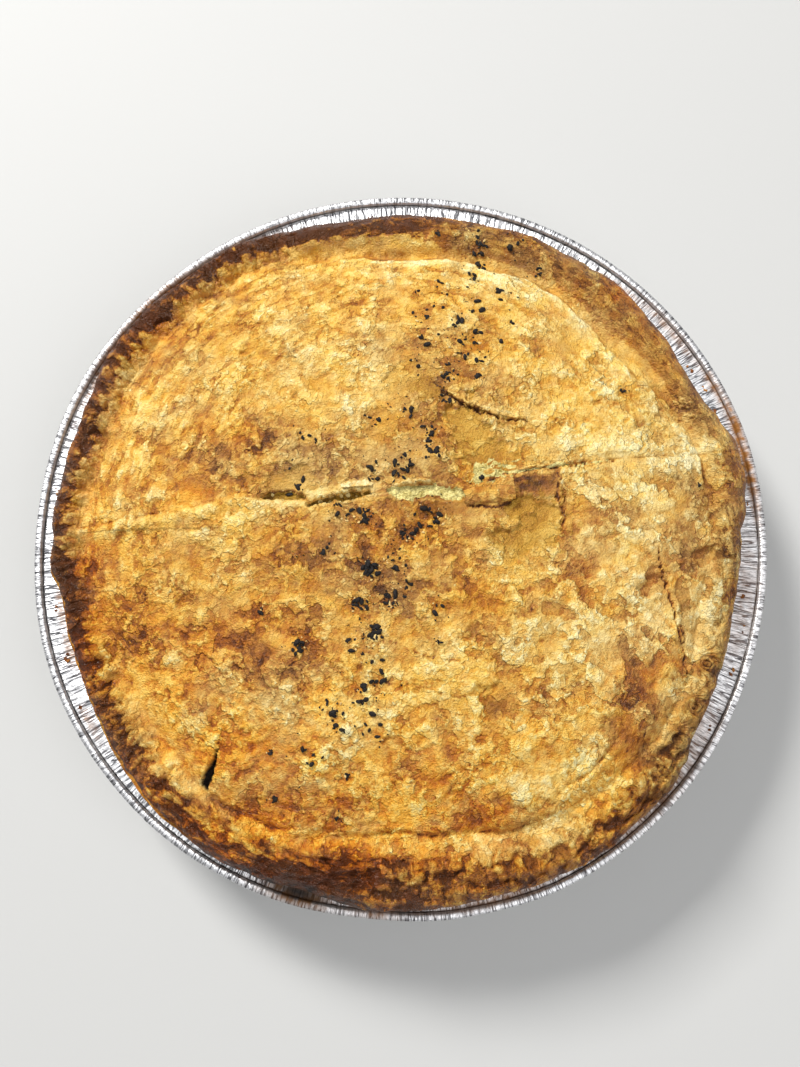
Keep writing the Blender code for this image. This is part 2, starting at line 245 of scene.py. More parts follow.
def seam_y(x):
    """Where the seam runs on the plan: its y at each x, in mm, with its small wanderings."""
    wander = 0.7 * noise(x / 5.5, x * 0, 31) + 0.35 * noise(x / 1.7, x * 0, 32)
    return np.interp(x, [p[0] for p in SEAM], [p[1] for p in SEAM]) + wander


def line_distance(x, y, line):
    """Distance in mm from each point to a broken line, and how far along it, 0 to 1."""
    nearest = np.full(np.shape(x), 1e3)
    along = np.zeros(np.shape(x))
    pieces = len(line) - 1
    for number in range(pieces):
        (ax, ay), (bx, by) = line[number], line[number + 1]
        run_x, run_y = bx - ax, by - ay
        share = ((x - ax) * run_x + (y - ay) * run_y) / (run_x ** 2 + run_y ** 2)
        share = np.clip(share, 0, 1)
        distance = np.hypot(x - ax - run_x * share, y - ay - run_y * share)
        closer = distance < nearest
        nearest = np.where(closer, distance, nearest)
        along = np.where(closer, (number + share) / pieces, along)
    return nearest, along


# %% [markdown]
# ## The crust's form
#
# One function gives the crust's height and its state at each point: the dome and border first,
# then folds, the seam, the sheets that flaked off, blisters and fine crumple. The same features
# that raise or sink the surface also decide how brown, raw or burnt it is, and where light and
# shade are painted on, so that colour and relief agree everywhere: paler on crests and lips,
# darker in creases, cracks and at the foot of steps.

# %% Dome and border
LID_TOP = 53.0
GROOVE_TOP = 40.6
BORDER_RISE = 2.0
BORDER_CREST = 0.45
EDGE_TOP = 35.6
DOME_FLATNESS = 2.6
DOME_SHOULDER = 0.8


def plain_form(x, y):
    """The smooth lid and border, each point's share of the way out from groove to edge, and the groove."""
    radius, degrees = polar(x, y)
    groove = outline_radius(GROOVE_OUTLINE, degrees)
    edge = edge_radius(degrees)
    fall = np.clip(1 - (radius / groove) ** DOME_FLATNESS, 0, 1) ** DOME_SHOULDER
    dome = GROOVE_TOP + (LID_TOP - GROOVE_TOP) * fall
    share = np.clip((radius - groove) / (edge - groove), 0, 1)
    past_crest = np.clip(share - BORDER_CREST, 0, 1) / (1 - BORDER_CREST)
    shoulder = np.sqrt(np.clip(1 - past_crest ** 2, 0, 1))
    rise = BORDER_RISE * ramp(share, 0, BORDER_CREST)
    border = EDGE_TOP + (GROOVE_TOP + rise - EDGE_TOP) * shoulder
    return np.where(radius <= groove, dome, border), share, groove


# %% Crimped, rolled and curled border
def along_border(degrees, start, end, ease=10):
    """1 on the stretch of border between two angles, eased over some degrees at its ends."""
    middle, half = (start + end) / 2, (end - start) / 2
    away = np.abs(np.mod(degrees - middle + 180, 360) - 180)
    return ramp(half + ease / 2 - away, 0, ease)


CURLS = (
    (91.4, -39.5, 2.4), (81.4, -61.9, 3.0), (74.9, -68.6, 4.4), (55.5, -89.4, 2.8), (87, -52, 2.2),
)
ROUND_THE_BORDER = 104
CRIMPED, LAYERED, KNOBBY = (108, 228, 14), (222, 270, 12), (224, 334, 12)
LUMPY, CURLED, ROLLED = (264, 322, 12), (310, 358, 12), (26, 112, 12)


def curl_relief(x, y):
    """Rings and the hollow in their middle, where the dough rolled up as it was pinched."""
    rings = np.zeros(np.shape(x))
    hollow = np.zeros(np.shape(x))
    bend_x, bend_y = shaken(x, y, (1.1, 3.4, 17, 18))
    for middle_x, middle_y, reach in CURLS:
        away = np.hypot(bend_x - middle_x, (bend_y - middle_y) * 1.2)
        rings = rings + np.cos(away * math.tau / 1.9) * np.exp(-(away / (1.5 * reach)) ** 4)
        hollow = np.maximum(hollow, hill(away, 0.7 * reach))
    return rings, hollow


def border_relief(x, y, share, state):
    """Finger folds on the left, burnt layers below, lumps and curls at the lower right."""
    radius, degrees = polar(x, y)
    crimped, layered_edge, knobby, lumpy, curled, rolled = (
        along_border(degrees, *stretch) for stretch in (CRIMPED, LAYERED, KNOBBY, LUMPY, CURLED, ROLLED)
    )
    arc = np.radians(degrees) * ROUND_THE_BORDER
    sway = arc + 1.8 * noise(radius / 7, arc / 13, 21) + 0.5 * noise(radius / 2.2, arc / 3, 30)
    near, beyond, number = cells(sway / 4.2, radius / 8.5 + 0.4 * noise(arc / 7, radius / 7, 23), 22)
    gap = ramp(0.2 - (beyond - near), 0, 0.2)
    pleat = noise(sway / 2.4, radius / 6, 28)
    lift = crimped * (1.9 * (0.5 - near) * (0.4 + number) + 0.4 * pleat - 0.4 * gap)
    bent_arc = sway + 1.6 * noise(x / 4, y / 4, 30)
    bent_radius = radius + 1.6 * noise(x / 4, y / 4, 31)
    lump_near, lump_beyond, lump_number = cells(bent_arc / 7.4, bent_radius / 6.8, 26)
    lump_gap = ramp(0.2 - (lump_beyond - lump_near), 0, 0.2)
    lift = lift + lumpy * (2.0 * (0.5 - lump_near) * (0.2 + lump_number) - 0.35 * lump_gap)
    knob_near, _, knob_number = cells(bent_arc / 5.2, bent_radius / 3.0, 33)
    lift = lift + knobby * 1.7 * (0.5 - knob_near) * (0.3 + knob_number)
    layers = noise(arc / 11, (radius + 0.8 * noise(arc / 5, radius / 3, 24)) / 1.7, 32)
    lift = lift + layered_edge * (0.6 * layers + 0.9 * layered(x / 6, y / 4, 25, 3))
    crumpled = curled * layered(x / 4.5, y / 4.5, 29, 3)
    lift = lift + 0.9 * crumpled + rolled * 0.5 * layered(x / 7, y / 7, 27, 3)
    curl, hollow = curl_relief(x, y)
    on_border = ramp(share, -0.05, 0.15)
    middle = np.sin(math.pi * np.clip(share * 0.8 + 0.15, 0, 1))
    # crease: the gaps between finger folds and lumps, darkened in the colour as painted shade.
    state["crease"] = on_border * middle * (crimped * gap + lumpy * lump_gap)
    # fold: how high each fold stands; the colour is made paler on its crests, a painted highlight.
    state["fold"] = on_border * (
        crimped * (2.2 * (0.45 - near) + 0.5 * pleat) + 1.6 * lumpy * (0.45 - lump_near)
        + layered_edge * layers + 1.2 * knobby * (0.45 - knob_near)
    )
    # groove: painted shade that darkens the border's crevices, between folds and in the curls' hollows.
    deep = 0.38 - 0.4 * state["fold"] + 0.5 * state["crease"] - 0.14 * curl + 0.15 * hollow
    deep = deep - 0.3 * crumpled - rolled * (0.12 + 0.25 * noise(x / 3, y / 3, 27))
    state["groove"] = on_border * np.clip(deep, 0, 1)
    # The tops of the knobs, painted paler as a painted highlight.
    state["knob"] = on_border * knobby * (0.42 - knob_near)
    state["curl"] = curl
    state["curl_hollow"] = hollow
    state["rolled"] = on_border * rolled
    return on_border * (middle * lift + 0.4 * curl - 0.7 * hollow)


# %% The hollow between dome and border
BOTTOM_CREASES = (
    (((-26, -87.5), (-8, -89), (14, -88.5), (34, -87), (47, -82)), 0.2),
    (((-34, -94), (-22, -96), (4, -96.5), (20, -95)), 0.2),
    (((-62, -74), (-50, -82), (-38, -87), (-26, -87.5)), 0.1),
    (((66, -58), (56, -70), (44, -79)), 0.1),
)


def hollow_relief(x, y, groove, state):
    """A step off the lid's top sheet into a hollow at the right, and creases at the bottom."""
    radius, degrees = polar(x, y)
    lip = outline_radius(DOME_EDGE, degrees) + 1.3 * noise(x / 9, y / 9, 45)
    past = radius - lip - 0.4 * noise(x / 2.4, y / 2.4, 46)
    stepped = along_border(degrees, -8, 104, 22)
    top = along_border(degrees, 52, 104, 16)
    patchy = np.clip(ramp(noise(x / 7, y / 7, 44), 0.0, 0.3) + 0.8 * top, 0, 1)
    state["hollow"] = stepped * ramp(past, -0.2, 1.4) * ramp(groove + 4.5 - radius, 0, 5)
    # A painted shadow: the colour is darkened at the foot of the lid's step.
    state["foot"] = stepped * patchy * hill(past - 0.4, 0.45)
    # The step's lip: raised, and painted paler as a painted highlight.
    state["lid_rim"] = stepped * patchy * ramp(past, -3.5, -0.5) * ramp(-past, 0, 0.4)
    lift = 0.6 * state["lid_rim"] - 1.4 * state["hollow"] - 0.5 * (1 - stepped) * hill(radius - groove, 3.0)
    deepest = np.zeros(np.shape(x))
    wobble = 1.3 * noise(x / 12, y / 12, 47) + 0.4 * noise(x / 2.4, y / 2.4, 48)
    for line, width in BOTTOM_CREASES:
        distance, along = line_distance(x, y + wobble, line)
        taper = np.sin(math.pi * np.clip(along, 0, 1)) ** 0.5
        broken = taper * (0.4 + 0.6 * ramp(noise(x / 6, y / 6, 49), -0.2, 0.2))
        deepest = np.maximum(deepest, broken * hill(distance, width + 0.3))
        lift = lift + 0.4 * taper * hill(distance - 1.6, 1.0)
    # The crease lines are darkened in the colour: painted shade.
    state["fold_line"] = deepest
    return lift - 0.7 * deepest


# %% Seam
TRENCHES = (
    ((-42, 9.2, 9.4), (-38, 8.3, 10.8), (-33, 8.5, 10.9), (-28.5, 8.4, 10), (-28, 8.8, 9)),
    ((-27.5, 6.7, 7), (-24, 7.2, 8.4), (-20, 7.7, 9.5), (-14, 8.2, 10.5), (-9, 9.6, 10.7), (-8, 10.2, 10.4)),
)
PALE_STRIP = (
    (-4.5, 10.8, 11.2), (-2, 8.6, 12.3), (2, 7.5, 12.9), (6, 8.5, 13.4), (10, 9.3, 13.1),
    (13, 8.1, 12.6), (18, 8.2, 11.6), (20, 8.8, 10.6),
)
FRAYED_BAND = (
    (19, 13.2, 16.4), (22.5, 12.8, 19.6), (27, 13.6, 20.7), (31, 14.9, 20.6), (36, 16.5, 20.6),
    (45, 17.8, 20.5), (54, 18.7, 20.7), (62, 20, 21.2), (68, 21, 21.3),
)
CREAM_LIPS = (
    (
        (-46, 8.2, 9.4), (-42, 6.8, 9.4), (-36, 6.1, 9), (-30, 5.6, 8.8), (-27, 5.9, 7.2), (-24, 6.3, 7.4),
        (-15, 7.4, 8.5), (-8, 9, 10.4), (-4, 9.8, 10.6), (0, 7.3, 8.2), (8, 7.8, 9), (14, 7.4, 8.4),
        (19, 7.8, 8.6),
    ),
    (
        (-30, 9.4, 10.6), (-26.5, 7.4, 11.4), (-20.5, 9.3, 12.7), (-13, 10.4, 13.6), (-8, 10.8, 13.9),
        (-4, 11, 12.6), (6, 13, 14.2), (12, 12.6, 13.6), (20, 10.8, 11.8),
    ),
)


def band(x, y, rows, ragged):
    """How many mm each point lies inside a band with a ragged outline, given as x, low y, high y."""
    columns, lows, highs = zip(*rows)
    low, high = np.interp(x, columns, lows), np.interp(x, columns, highs)
    ends = np.minimum(x - columns[0], columns[-1] - x)
    torn = ragged * (noise(x / 2.6, y / 2.6, 33) + 0.8 * noise(x / 1.0, y / 1.0, 34))
    return np.minimum(np.minimum(y - low, high - y), ends) + torn


def seam_relief(x, y, state):
    """The line where two sheets meet: pressed shut at both ends, gaping and frayed in the middle."""
    off = y - seam_y(x)
    trench = np.maximum(band(x, y, TRENCHES[0], 0.6), band(x, y, TRENCHES[1], 0.6))
    raw = ramp(trench, -0.45, 0.5)
    strip = ramp(band(x, y, PALE_STRIP, 0.7), -0.2, 0.5)
    frayed = ramp(band(x, y, FRAYED_BAND, 0.9), 0, 0.4)
    lips = np.maximum(band(x, y, CREAM_LIPS[0], 0.55), band(x, y, CREAM_LIPS[1], 0.8))
    lip = ramp(lips, 0, 0.35) * (1 - raw) * (1 - strip)
    strands = noise(x / 4 + 4, (y + 0.8 * noise(x / 4, y / 4, 36)) / 0.62, 35)
    layers = noise(x / 5.5, (y - 0.12 * x + 0.9 * noise(x / 5, y / 5, 38)) / 0.85, 39)
    ridge = ramp(-x, 38, 52) * hill(off + 2.0, 2.2)
    pressed_shut = ramp(np.abs(x + 8), 42, 56) * ramp(noise(x / 9, x * 0, 37), -0.5, 0.2)
    crease = hill(off, 0.4) * pressed_shut
    low_edge = np.interp(x, [row[0] for row in FRAYED_BAND], [row[1] for row in FRAYED_BAND])
    dots = ramp(noise(x / 1.3, y / 0.9, 40), 0.05, 0.4) * hill(y - low_edge - 0.6, 0.8)
    state["raw"] = raw
    state["strip"] = np.clip(strip + 0.85 * frayed * ramp(layers, -0.25, 0.1), 0, 1)
    state["shadow_edge"] = hill(trench - 0.12, 0.28) * ramp(off, -0.2, 0.6) + frayed * dots
    state["strand"] = strip * strands + frayed * layers
    state["lip"] = lip
    state["seam_ridge"] = ridge
    # The pressed-shut seam's crease, darkened in the colour as painted shade.
    state["seam_crease"] = crease
    lift = 0.4 * lip + 0.9 * ridge - 0.5 * crease - 1.7 * raw - 0.75 * strip
    return lift + 0.2 * strip * strands + frayed * (0.35 * layers - 0.2) - 0.7 * frayed * dots


# %% Bare patches, where the top sheets flaked away
BARE_PATCHES = (
    (21, 31, 7, 7.5, 0.5, 0.04, 1), (24, 23, 9, 5, 0.3, 0.05, 0.7), (40, 2, 8.5, 8, 0.6, 0.05, 1),
    (34, -5, 6, 5, 0.4, 0.06, 0.8), (2, 46, 8, 5, 0.3, 0.02, 0.5), (-34, 15, 11, 3.5, 0.25, 0.02, 0.4),
    (76, -16.5, 4.4, 3.4, 0.5, 0.13, 0), (94, -7, 5.5, 2.6, 0.5, 0.17, 0.1),
    (85.3, -20, 2.6, 4.2, 0.4, 0.22, 0.2), (28, -50, 3.4, 5, 0.45, 0.12, 0.3),
    (14, 5, 7, 4, 0.25, 0.1, 0.3), (66, 22, 8, 2.2, 0.3, -0.02, 0), (45, -24, 3, 2, 0.3, 0.2, 0),
    (-6, 31, 6, 4, 0.2, 0.08, 0.3), (10, 42, 5, 3, 0.3, 0.05, 0.9),
)
FLAP = ((33, 11, 14.6), (36, 10.6, 15.8), (40, 9.6, 16.2), (44, 9, 16.8), (48, 9.6, 17))


def bare_relief(x, y, state):
    """Sunken places with a ragged rim: place, reach and depth in mm, how much browner, how ochre."""
    deepest, bare, bare_tone, ochre = (np.zeros(np.shape(x)) for _ in range(4))
    torn = 0.7 * layered(x / 7.5, y / 6.5, 41, 4, 0.6)
    for patch in BARE_PATCHES:
        depth, browner, olive = patch[4:]
        span = oval(x, y, patch)
        inside = (1 - span - torn) * min(patch[2:4])
        near = ramp(span, 1.9, 1.5)
        deepest = np.maximum(deepest, depth * ramp(inside, 0, 0.45) * near)
        bare = np.maximum(bare, ramp(inside, -0.9, 1.1) * near)
        bare_tone = np.where(span < 2, np.maximum(bare_tone, browner * near), bare_tone)
        ochre = np.where(span < 2, np.maximum(ochre, olive * near), ochre)
    inside_flap = band(x, y, FLAP, 0.7)
    flap = ramp(inside_flap, 0, 0.4)
    flap_rim = hill(inside_flap - 0.2, 0.35)
    state["bare"] = np.clip(bare, 0, 1) * (1 - flap)
    state["bare_tone"] = bare_tone
    state["flap"] = flap
    state["flap_tone"] = 0.14 * flap * (1 + 0.8 * noise(x / 3, y / 2.4, 43)) - 0.2 * flap_rim
    state["ochre"] = ochre
    return 0.5 * flap + 0.3 * flap_rim - deepest


# %% Flakes
FLAKE_LAYERS = ((21.0, 0.05, 0.34, 51), (10.5, 0.08, 0.26, 52), (6.2, 0.12, 0.18, 53))


def flake_relief(x, y, share, state):
    """Torn sheets lying on each other: each layer ends in a ragged step as thin as paper."""
    calm = (1 - state["bare"]) * (1 - state["raw"]) * (1 - 0.7 * state["strip"])
    calm = calm * (1 - 0.4 * ramp(share, 0.0, 0.3) - 0.4 * state["rolled"])
    warp_x, warp_y = shaken(x, y, (2.2, 6, 55, 56), (0.4, 1.6, 57, 58))
    lift, flake_tone, foot = 0, 0, 0
    for size, limit, height, seed in FLAKE_LAYERS:
        field = layered(warp_x / size, warp_y / (0.75 * size), seed, 3, 0.5)
        width = 0.26 / size
        on = ramp(field, limit - width, limit + width)
        lift = lift + height * on
        flake_tone = flake_tone + (on - 0.4)
        # The foot of each step, where the colour is darkened as a painted shadow.
        foot = np.maximum(foot, hill(field - limit + 2.6 * width, 1.8 * width))
    state["flake"] = flake_tone * calm
    state["step"] = foot * calm
    return lift * calm


# %% Blisters and crumple
BLISTERED = (
    (50, -50, 46, 34), (-46, 24, 34, 14), (66, -4, 26, 16), (-64, -62, 22, 18), (56, 44, 26, 22),
    (-30, -46, 26, 16), (6, -60, 30, 12),
)


def blister_relief(x, y, state):
    """Flat round blisters where steam raised the top sheet, thickest at the lower right."""
    place = np.max([hill(oval(x, y, patch), 1) for patch in BLISTERED], axis=0)
    place = ramp(place + 0.5 * noise(x / 11, y / 11, 62), 0.35, 0.65) * (1 - 0.8 * state["bare"])
    bend_x, bend_y = shaken(x, y, (0.8, 3, 63, 66))
    nearest, _, number = cells(bend_x / 5.2, bend_y / 5.2, 64)
    size = (0.16 + 0.34 * number) * (number > 0.25)
    state["blister"] = place * ramp(size - nearest, 0, 0.1)
    state["blister_ring"] = place * hill(size - nearest + 0.06, 0.06)
    return 0.28 * state["blister"]


def crumple_relief(x, y, state):
    """Fine creasing: along the ring at the upper left, level at the bottom, mixed elsewhere."""
    radius = np.hypot(x, y)
    angle = np.arctan2(y, x)
    ring = layered(radius / 2.2 + noise(x / 14, y / 14, 71), angle * radius / 15, 72, 3)
    ring = ring * ramp(radius, 45, 75) * ramp(y - 0.6 * x, 10, 60)
    level = layered(x / 10, y / 2.0 + noise(x / 15, y / 15, 73), 74, 3) * ramp(-y, 76, 90)
    mixed = layered(x / 4.5, y / 3.8, 75, 3)
    state["crumple"] = 0.4 * mixed + 0.9 * ring + 0.8 * level
    return 0.12 * mixed + 0.24 * ring + 0.28 * level


# %% Cracks
CRACKS = (
    (TORN_FLAKE, 0.32, 1.0), (EDGE_CRACK, 0.3, 1.0),
    (((31, 33), (36, 34), (44, 33), (52, 34)), 0.12, 0.4),
    (((24, 37), (27, 39), (29, 43)), 0.12, 0.3),
    (((47.2, 17), (47.4, 14), (46.3, 11), (46.9, 9), (48.5, 6.4), (48.9, 4), (48.3, -1)), 0.3, 0.9),
    (((20, 7.4), (23, 6.4), (28, 6.3), (32.5, 7.4), (33.6, 9.4)), 0.42, 0.8),
    (((-6, -32), (6, -37), (14, -39), (26, -37)), 0.14, 0.4),
    (((-16, -48), (-8, -46), (2, -45)), 0.14, 0.3),
    (((60, -60), (54, -66), (47, -70)), 0.12, 0.4),
    (((-24, 62), (-19, 56), (-12, 53), (-4, 56), (4, 57)), 0.14, 0.3),
    (((83, -28), (86, -32), (84, -36), (88, -41)), 0.25, 0.7),
    (((78, -48), (72, -60), (66, -66)), 0.16, 0.4),
)
SLIT_DEPTH = 2.4


def crack_relief(x, y, state):
    """Named cracks with a jagged course, the cut steam slit, and a scatter of hairline cracks."""
    shift_x, shift_y = shaken(x, y, (0.9, 2.6, 81, 83), (0.5, 1.1, 82, 84))
    open_crack = np.zeros(np.shape(x))
    lift = np.zeros(np.shape(x))
    for line, width, depth in CRACKS:
        distance, along = line_distance(shift_x, shift_y, line)
        taper = width * (0.5 + 0.7 * np.sin(math.pi * np.clip(along, 0, 1)))
        gap = ramp(taper * (1 + 0.8 * noise(x / 1.7, y / 1.7, 87)) - distance, -0.15, 0.3)
        open_crack = np.maximum(open_crack, gap)
        lift = np.minimum(lift, -depth * gap)
    distance, along = line_distance(x + 0.35 * noise(x / 2, y / 2, 88), y, STEAM_SLIT)
    half_width = 0.3 + 1.05 * np.sin(math.pi * along ** 1.8)
    state["slit"] = ramp(half_width - distance, -0.1, 0.25) * ramp(1 - along, 0, 0.02)
    field = np.abs(layered(x / 9, y / 6.5, 85, 4, 0.55))
    patchy = ramp(noise(x / 15, y / 15, 86), 0.05, 0.3)
    # Hairline cracks: sunk a little, and darkened in the colour as painted shade.
    state["hair"] = ramp(-field, -0.04, -0.012) * patchy * (1 - state["raw"])
    # Open cracks, darkened in the colour as painted shade.
    state["crack"] = open_crack
    return np.minimum(lift, -SLIT_DEPTH * state["slit"]) - 0.16 * state["hair"]


# %% Folds and the whole crust
FOLDS = (
    ((-34, -98), (42, -98), 2.6, 1.2), ((-22, -92), (36, -92), 1.8, 1.2), ((66, -44), (84, -64), 4.0, 1.6),
    ((-4, 94), (20, 93), 1.6, 0.7), ((30, -28), (44, -64), 1.5, 0.5), ((-76, 44), (-48, 74), 1.6, 0.5),
    ((-84, 30), (-66, 60), 1.4, 0.4), ((52, -26), (58, -58), 1.6, 0.5),
)
BASE_SHEET, BURNT, SCORCHED = (180, 236, 8), (240, 264, 14), (120, 153, 8)
SHELF = 34.6


def side_relief(x, y, height, share, state):
    """The trimmed base sheet that shows past the border at the left, and the burnt stretches."""
    radius, degrees = polar(x, y)
    shows = along_border(degrees, *BASE_SHEET)
    past = radius - edge_radius(degrees) + 2.6 + 0.6 * noise(x / 4, y / 4, 93)
    state["base_sheet"] = shows * ramp(past, 0, 0.6)
    # The gap between the top crust and the base sheet: sunk, and darkened in the colour as a painted shadow.
    state["base_gap"] = shows * hill(past - 0.2, 0.45)
    shelf = SHELF + 0.4 * noise(x / 3, y / 3, 94) - 0.5 * state["base_gap"]
    burnt = along_border(degrees, *BURNT) * ramp(share, 0.7, 0.98)
    scorched = along_border(degrees, *SCORCHED) * ramp(share, 0.86, 0.98)
    pocket = ramp(layered(x / 4, y / 2.6, 95, 3), 0.0, 0.3)
    charred = np.maximum(burnt * pocket, 0.8 * scorched * ramp(pocket, 0.2, 0.8))
    # The steam slit is filled with the same near-black as the burnt stretches.
    state["burnt_and_slit_black"] = np.clip(charred + 1.5 * state["slit"], 0, 1)
    return height + state["base_sheet"] * (np.minimum(height, shelf) - height)


def crust(x, y):
    """The crust's height in mm over each point of the plan, and its state there."""
    height, share, groove = plain_form(x, y)
    state = {"share": share}
    height = height + 0.8 * layered(x / 17, y / 17, 91, 2, 0.45) * (1 - 0.7 * ramp(share, 0.6, 1))
    height = height + border_relief(x, y, share, state) + hollow_relief(x, y, groove, state)
    height = height + seam_relief(x, y, state) * (1 - ramp(share, 0.3, 0.7))
    wobble = 1.2 * noise(x / 16, y / 16, 92)
    for start, end, half_width, lift in FOLDS:
        distance, _ = line_distance(x, y + wobble, (start, end))
        height = height + lift * hill(distance, half_width)
    height = height + bare_relief(x, y, state) + flake_relief(x, y, share, state)
    height = height + blister_relief(x, y, state) + crumple_relief(x, y, state) + crack_relief(x, y, state)
    return side_relief(x, y, height, share, state), state


print("crust top at the middle", round(float(crust(np.zeros(1), np.zeros(1))[0][0]), 1), "mm")

# %% [markdown]
# ## How brown each place is
#
# Thin edges brown first, and what was under a flake is ochre. Broad patches are placed where the
# real lid is darker or paler. Light and shade are painted into this number too: fold crests, knob
# tops and the lip of the lid's step are made paler as painted highlights; creases, crevices and
# cracks darker as painted shade; and the foot of each step darker as a painted shadow. The result
# is one number per point, 0 for cream to 1 for burnt, which the material turns into colour. Other
# numbers say how far that colour turns to orange, tan or rosy brown, and where large sheets lie.

# %% Browning
BROWN_PATCHES = (
    (-50, 25, 26, 10, 0.17), (-37, 18, 20, 9, 0.12), (-10, -10, 16, 20, 0.20), (38, 8, 11, 13, 0.13),
    (8, 30, 13, 26, 0.14), (20, 55, 16, 14, 0.07), (-45, -28, 22, 13, 0.18), (-70, -30, 18, 10, 0.12),
    (-20, -78, 52, 10, 0.10), (-60, -8, 24, 7, 0.08), (-38, -40, 10, 8, 0.12), (-84, -26, 8, 10, 0.16),
    (66, -46, 9, 17, 0.15), (6, 8, 9, 9, 0.14), (24, -22, 18, 7, 0.13), (4, -26, 9, 8, 0.1),
    (14, -4, 18, 14, 0.06), (30, -56, 22, 12, 0.04), (-88, -8, 12, 14, 0.08), (-62, 12, 18, 6, 0.10),
    (66, 20, 10, 4, 0.04), (0, 0, 60, 12, 0.03), (-82, -52, 9, 10, 0.06), (-55, -57, 13, 13, 0.15),
    (-66, 66, 20, 20, 0.12), (-34, 101, 20, 4.5, 0.26), (-94, 22, 6, 12, 0.08), (-97, -19, 6, 11, 0.2),
    (-24, -99, 28, 7, 0.24), (34, 30, 14, 10, 0.05), (68, -64, 10, 11, 0.16), (54, -15, 9, 16, 0.15),
    (84, -14, 8, 9, 0.08), (99, 13, 5, 14, 0.12), (-22, -40, 26, 7, 0.1), (-36, -9, 10, 6, 0.1),
    (-99, -4, 6, 26, 0.05), (-98, -26, 7, 10, 0.07), (-24, -100, 20, 6, 0.11), (25, -83, 9, 5, 0.06),
    (-38, 100, 10, 5, 0.2), (-44, 83, 16, 6, 0.08), (-41, -82, 16, 7, 0.08), (70, -66, 8, 8, 0.1),
    (83, -7, 8, 7, 0.08), (82, -44, 8, 12, 0.07), (-82, -38, 7, 8, 0.06), (70, -38, 8, 8, 0.04),
    (-67, 21, 9, 7, 0.06), (24, -82, 8, 5, 0.06), (12, 71, 16, 8, 0.05), (-21, -98, 12, 5, 0.06),
    (8, -67, 9, 6, 0.04), (39, -67, 8, 6, 0.05), (-36, -67, 9, 6, 0.04), (-45, 53, 14, 7, 0.03),
    (71, -50, 13, 14, 0.05), (-46, 91, 10, 8, 0.1), (-76, 36, 12, 9, 0.05), (-97, -18, 5, 9, 0.06),
    (22, -84, 8, 5, 0.16), (30, 17, 14, 9, 0.09), (67, 37, 9, 8, 0.09), (20, 100, 26, 4, 0.08),
)
PALE_PATCHES = (
    (72, 36, 22, 16, 0.10), (66, 24, 26, 6, 0.10), (0, 82, 44, 9, 0.07), (-60, 62, 26, 20, 0.03),
    (52, 66, 18, 26, 0.06), (-14, 46, 18, 10, 0.08), (12, -38, 26, 10, 0.05), (56, -30, 16, 18, 0.14),
    (56, -72, 20, 14, 0.08), (-70, 40, 12, 22, 0.04), (-28, -50, 26, 9, 0.04), (66, 8, 22, 14, 0.10),
    (6, -82, 11, 6, 0.2), (38, -82, 10, 6, 0.1), (-60, -66, 16, 10, 0.02), (84, -34, 10, 16, 0.10),
    (-30, 12, 12, 6, 0.06), (50, -69, 10, 7, 0.08), (-82, -6, 8, 6, 0.14),
    (-52, -20, 9, 7, 0.08), (97, -25, 6, 10, 0.14), (25, 82, 9, 5, 0.1), (85, 29, 10, 12, 0.07),
    (-36, 6, 9, 6, 0.08), (22, 99, 10, 5, 0.08), (61, 61, 10, 14, 0.05), (-21, -69, 9, 6, 0.05),
    (54, -67, 8, 7, 0.05), (-4, 21, 20, 5, 0.03), (84, -67, 7, 7, 0.1), (98, 29, 6, 14, 0.06),
    (99, -2, 5, 10, 0.05), (22, 100, 10, 5, 0.06),
)
BORDER_BROWNING = (
    (0, 0.2), (24, 0.24), (60, 0.25), (90, 0.31), (120, 0.38), (150, 0.38), (180, 0.40), (215, 0.33),
    (240, 0.33), (262, 0.33), (285, 0.25), (305, 0.26), (330, 0.2), (360, 0.2),
)


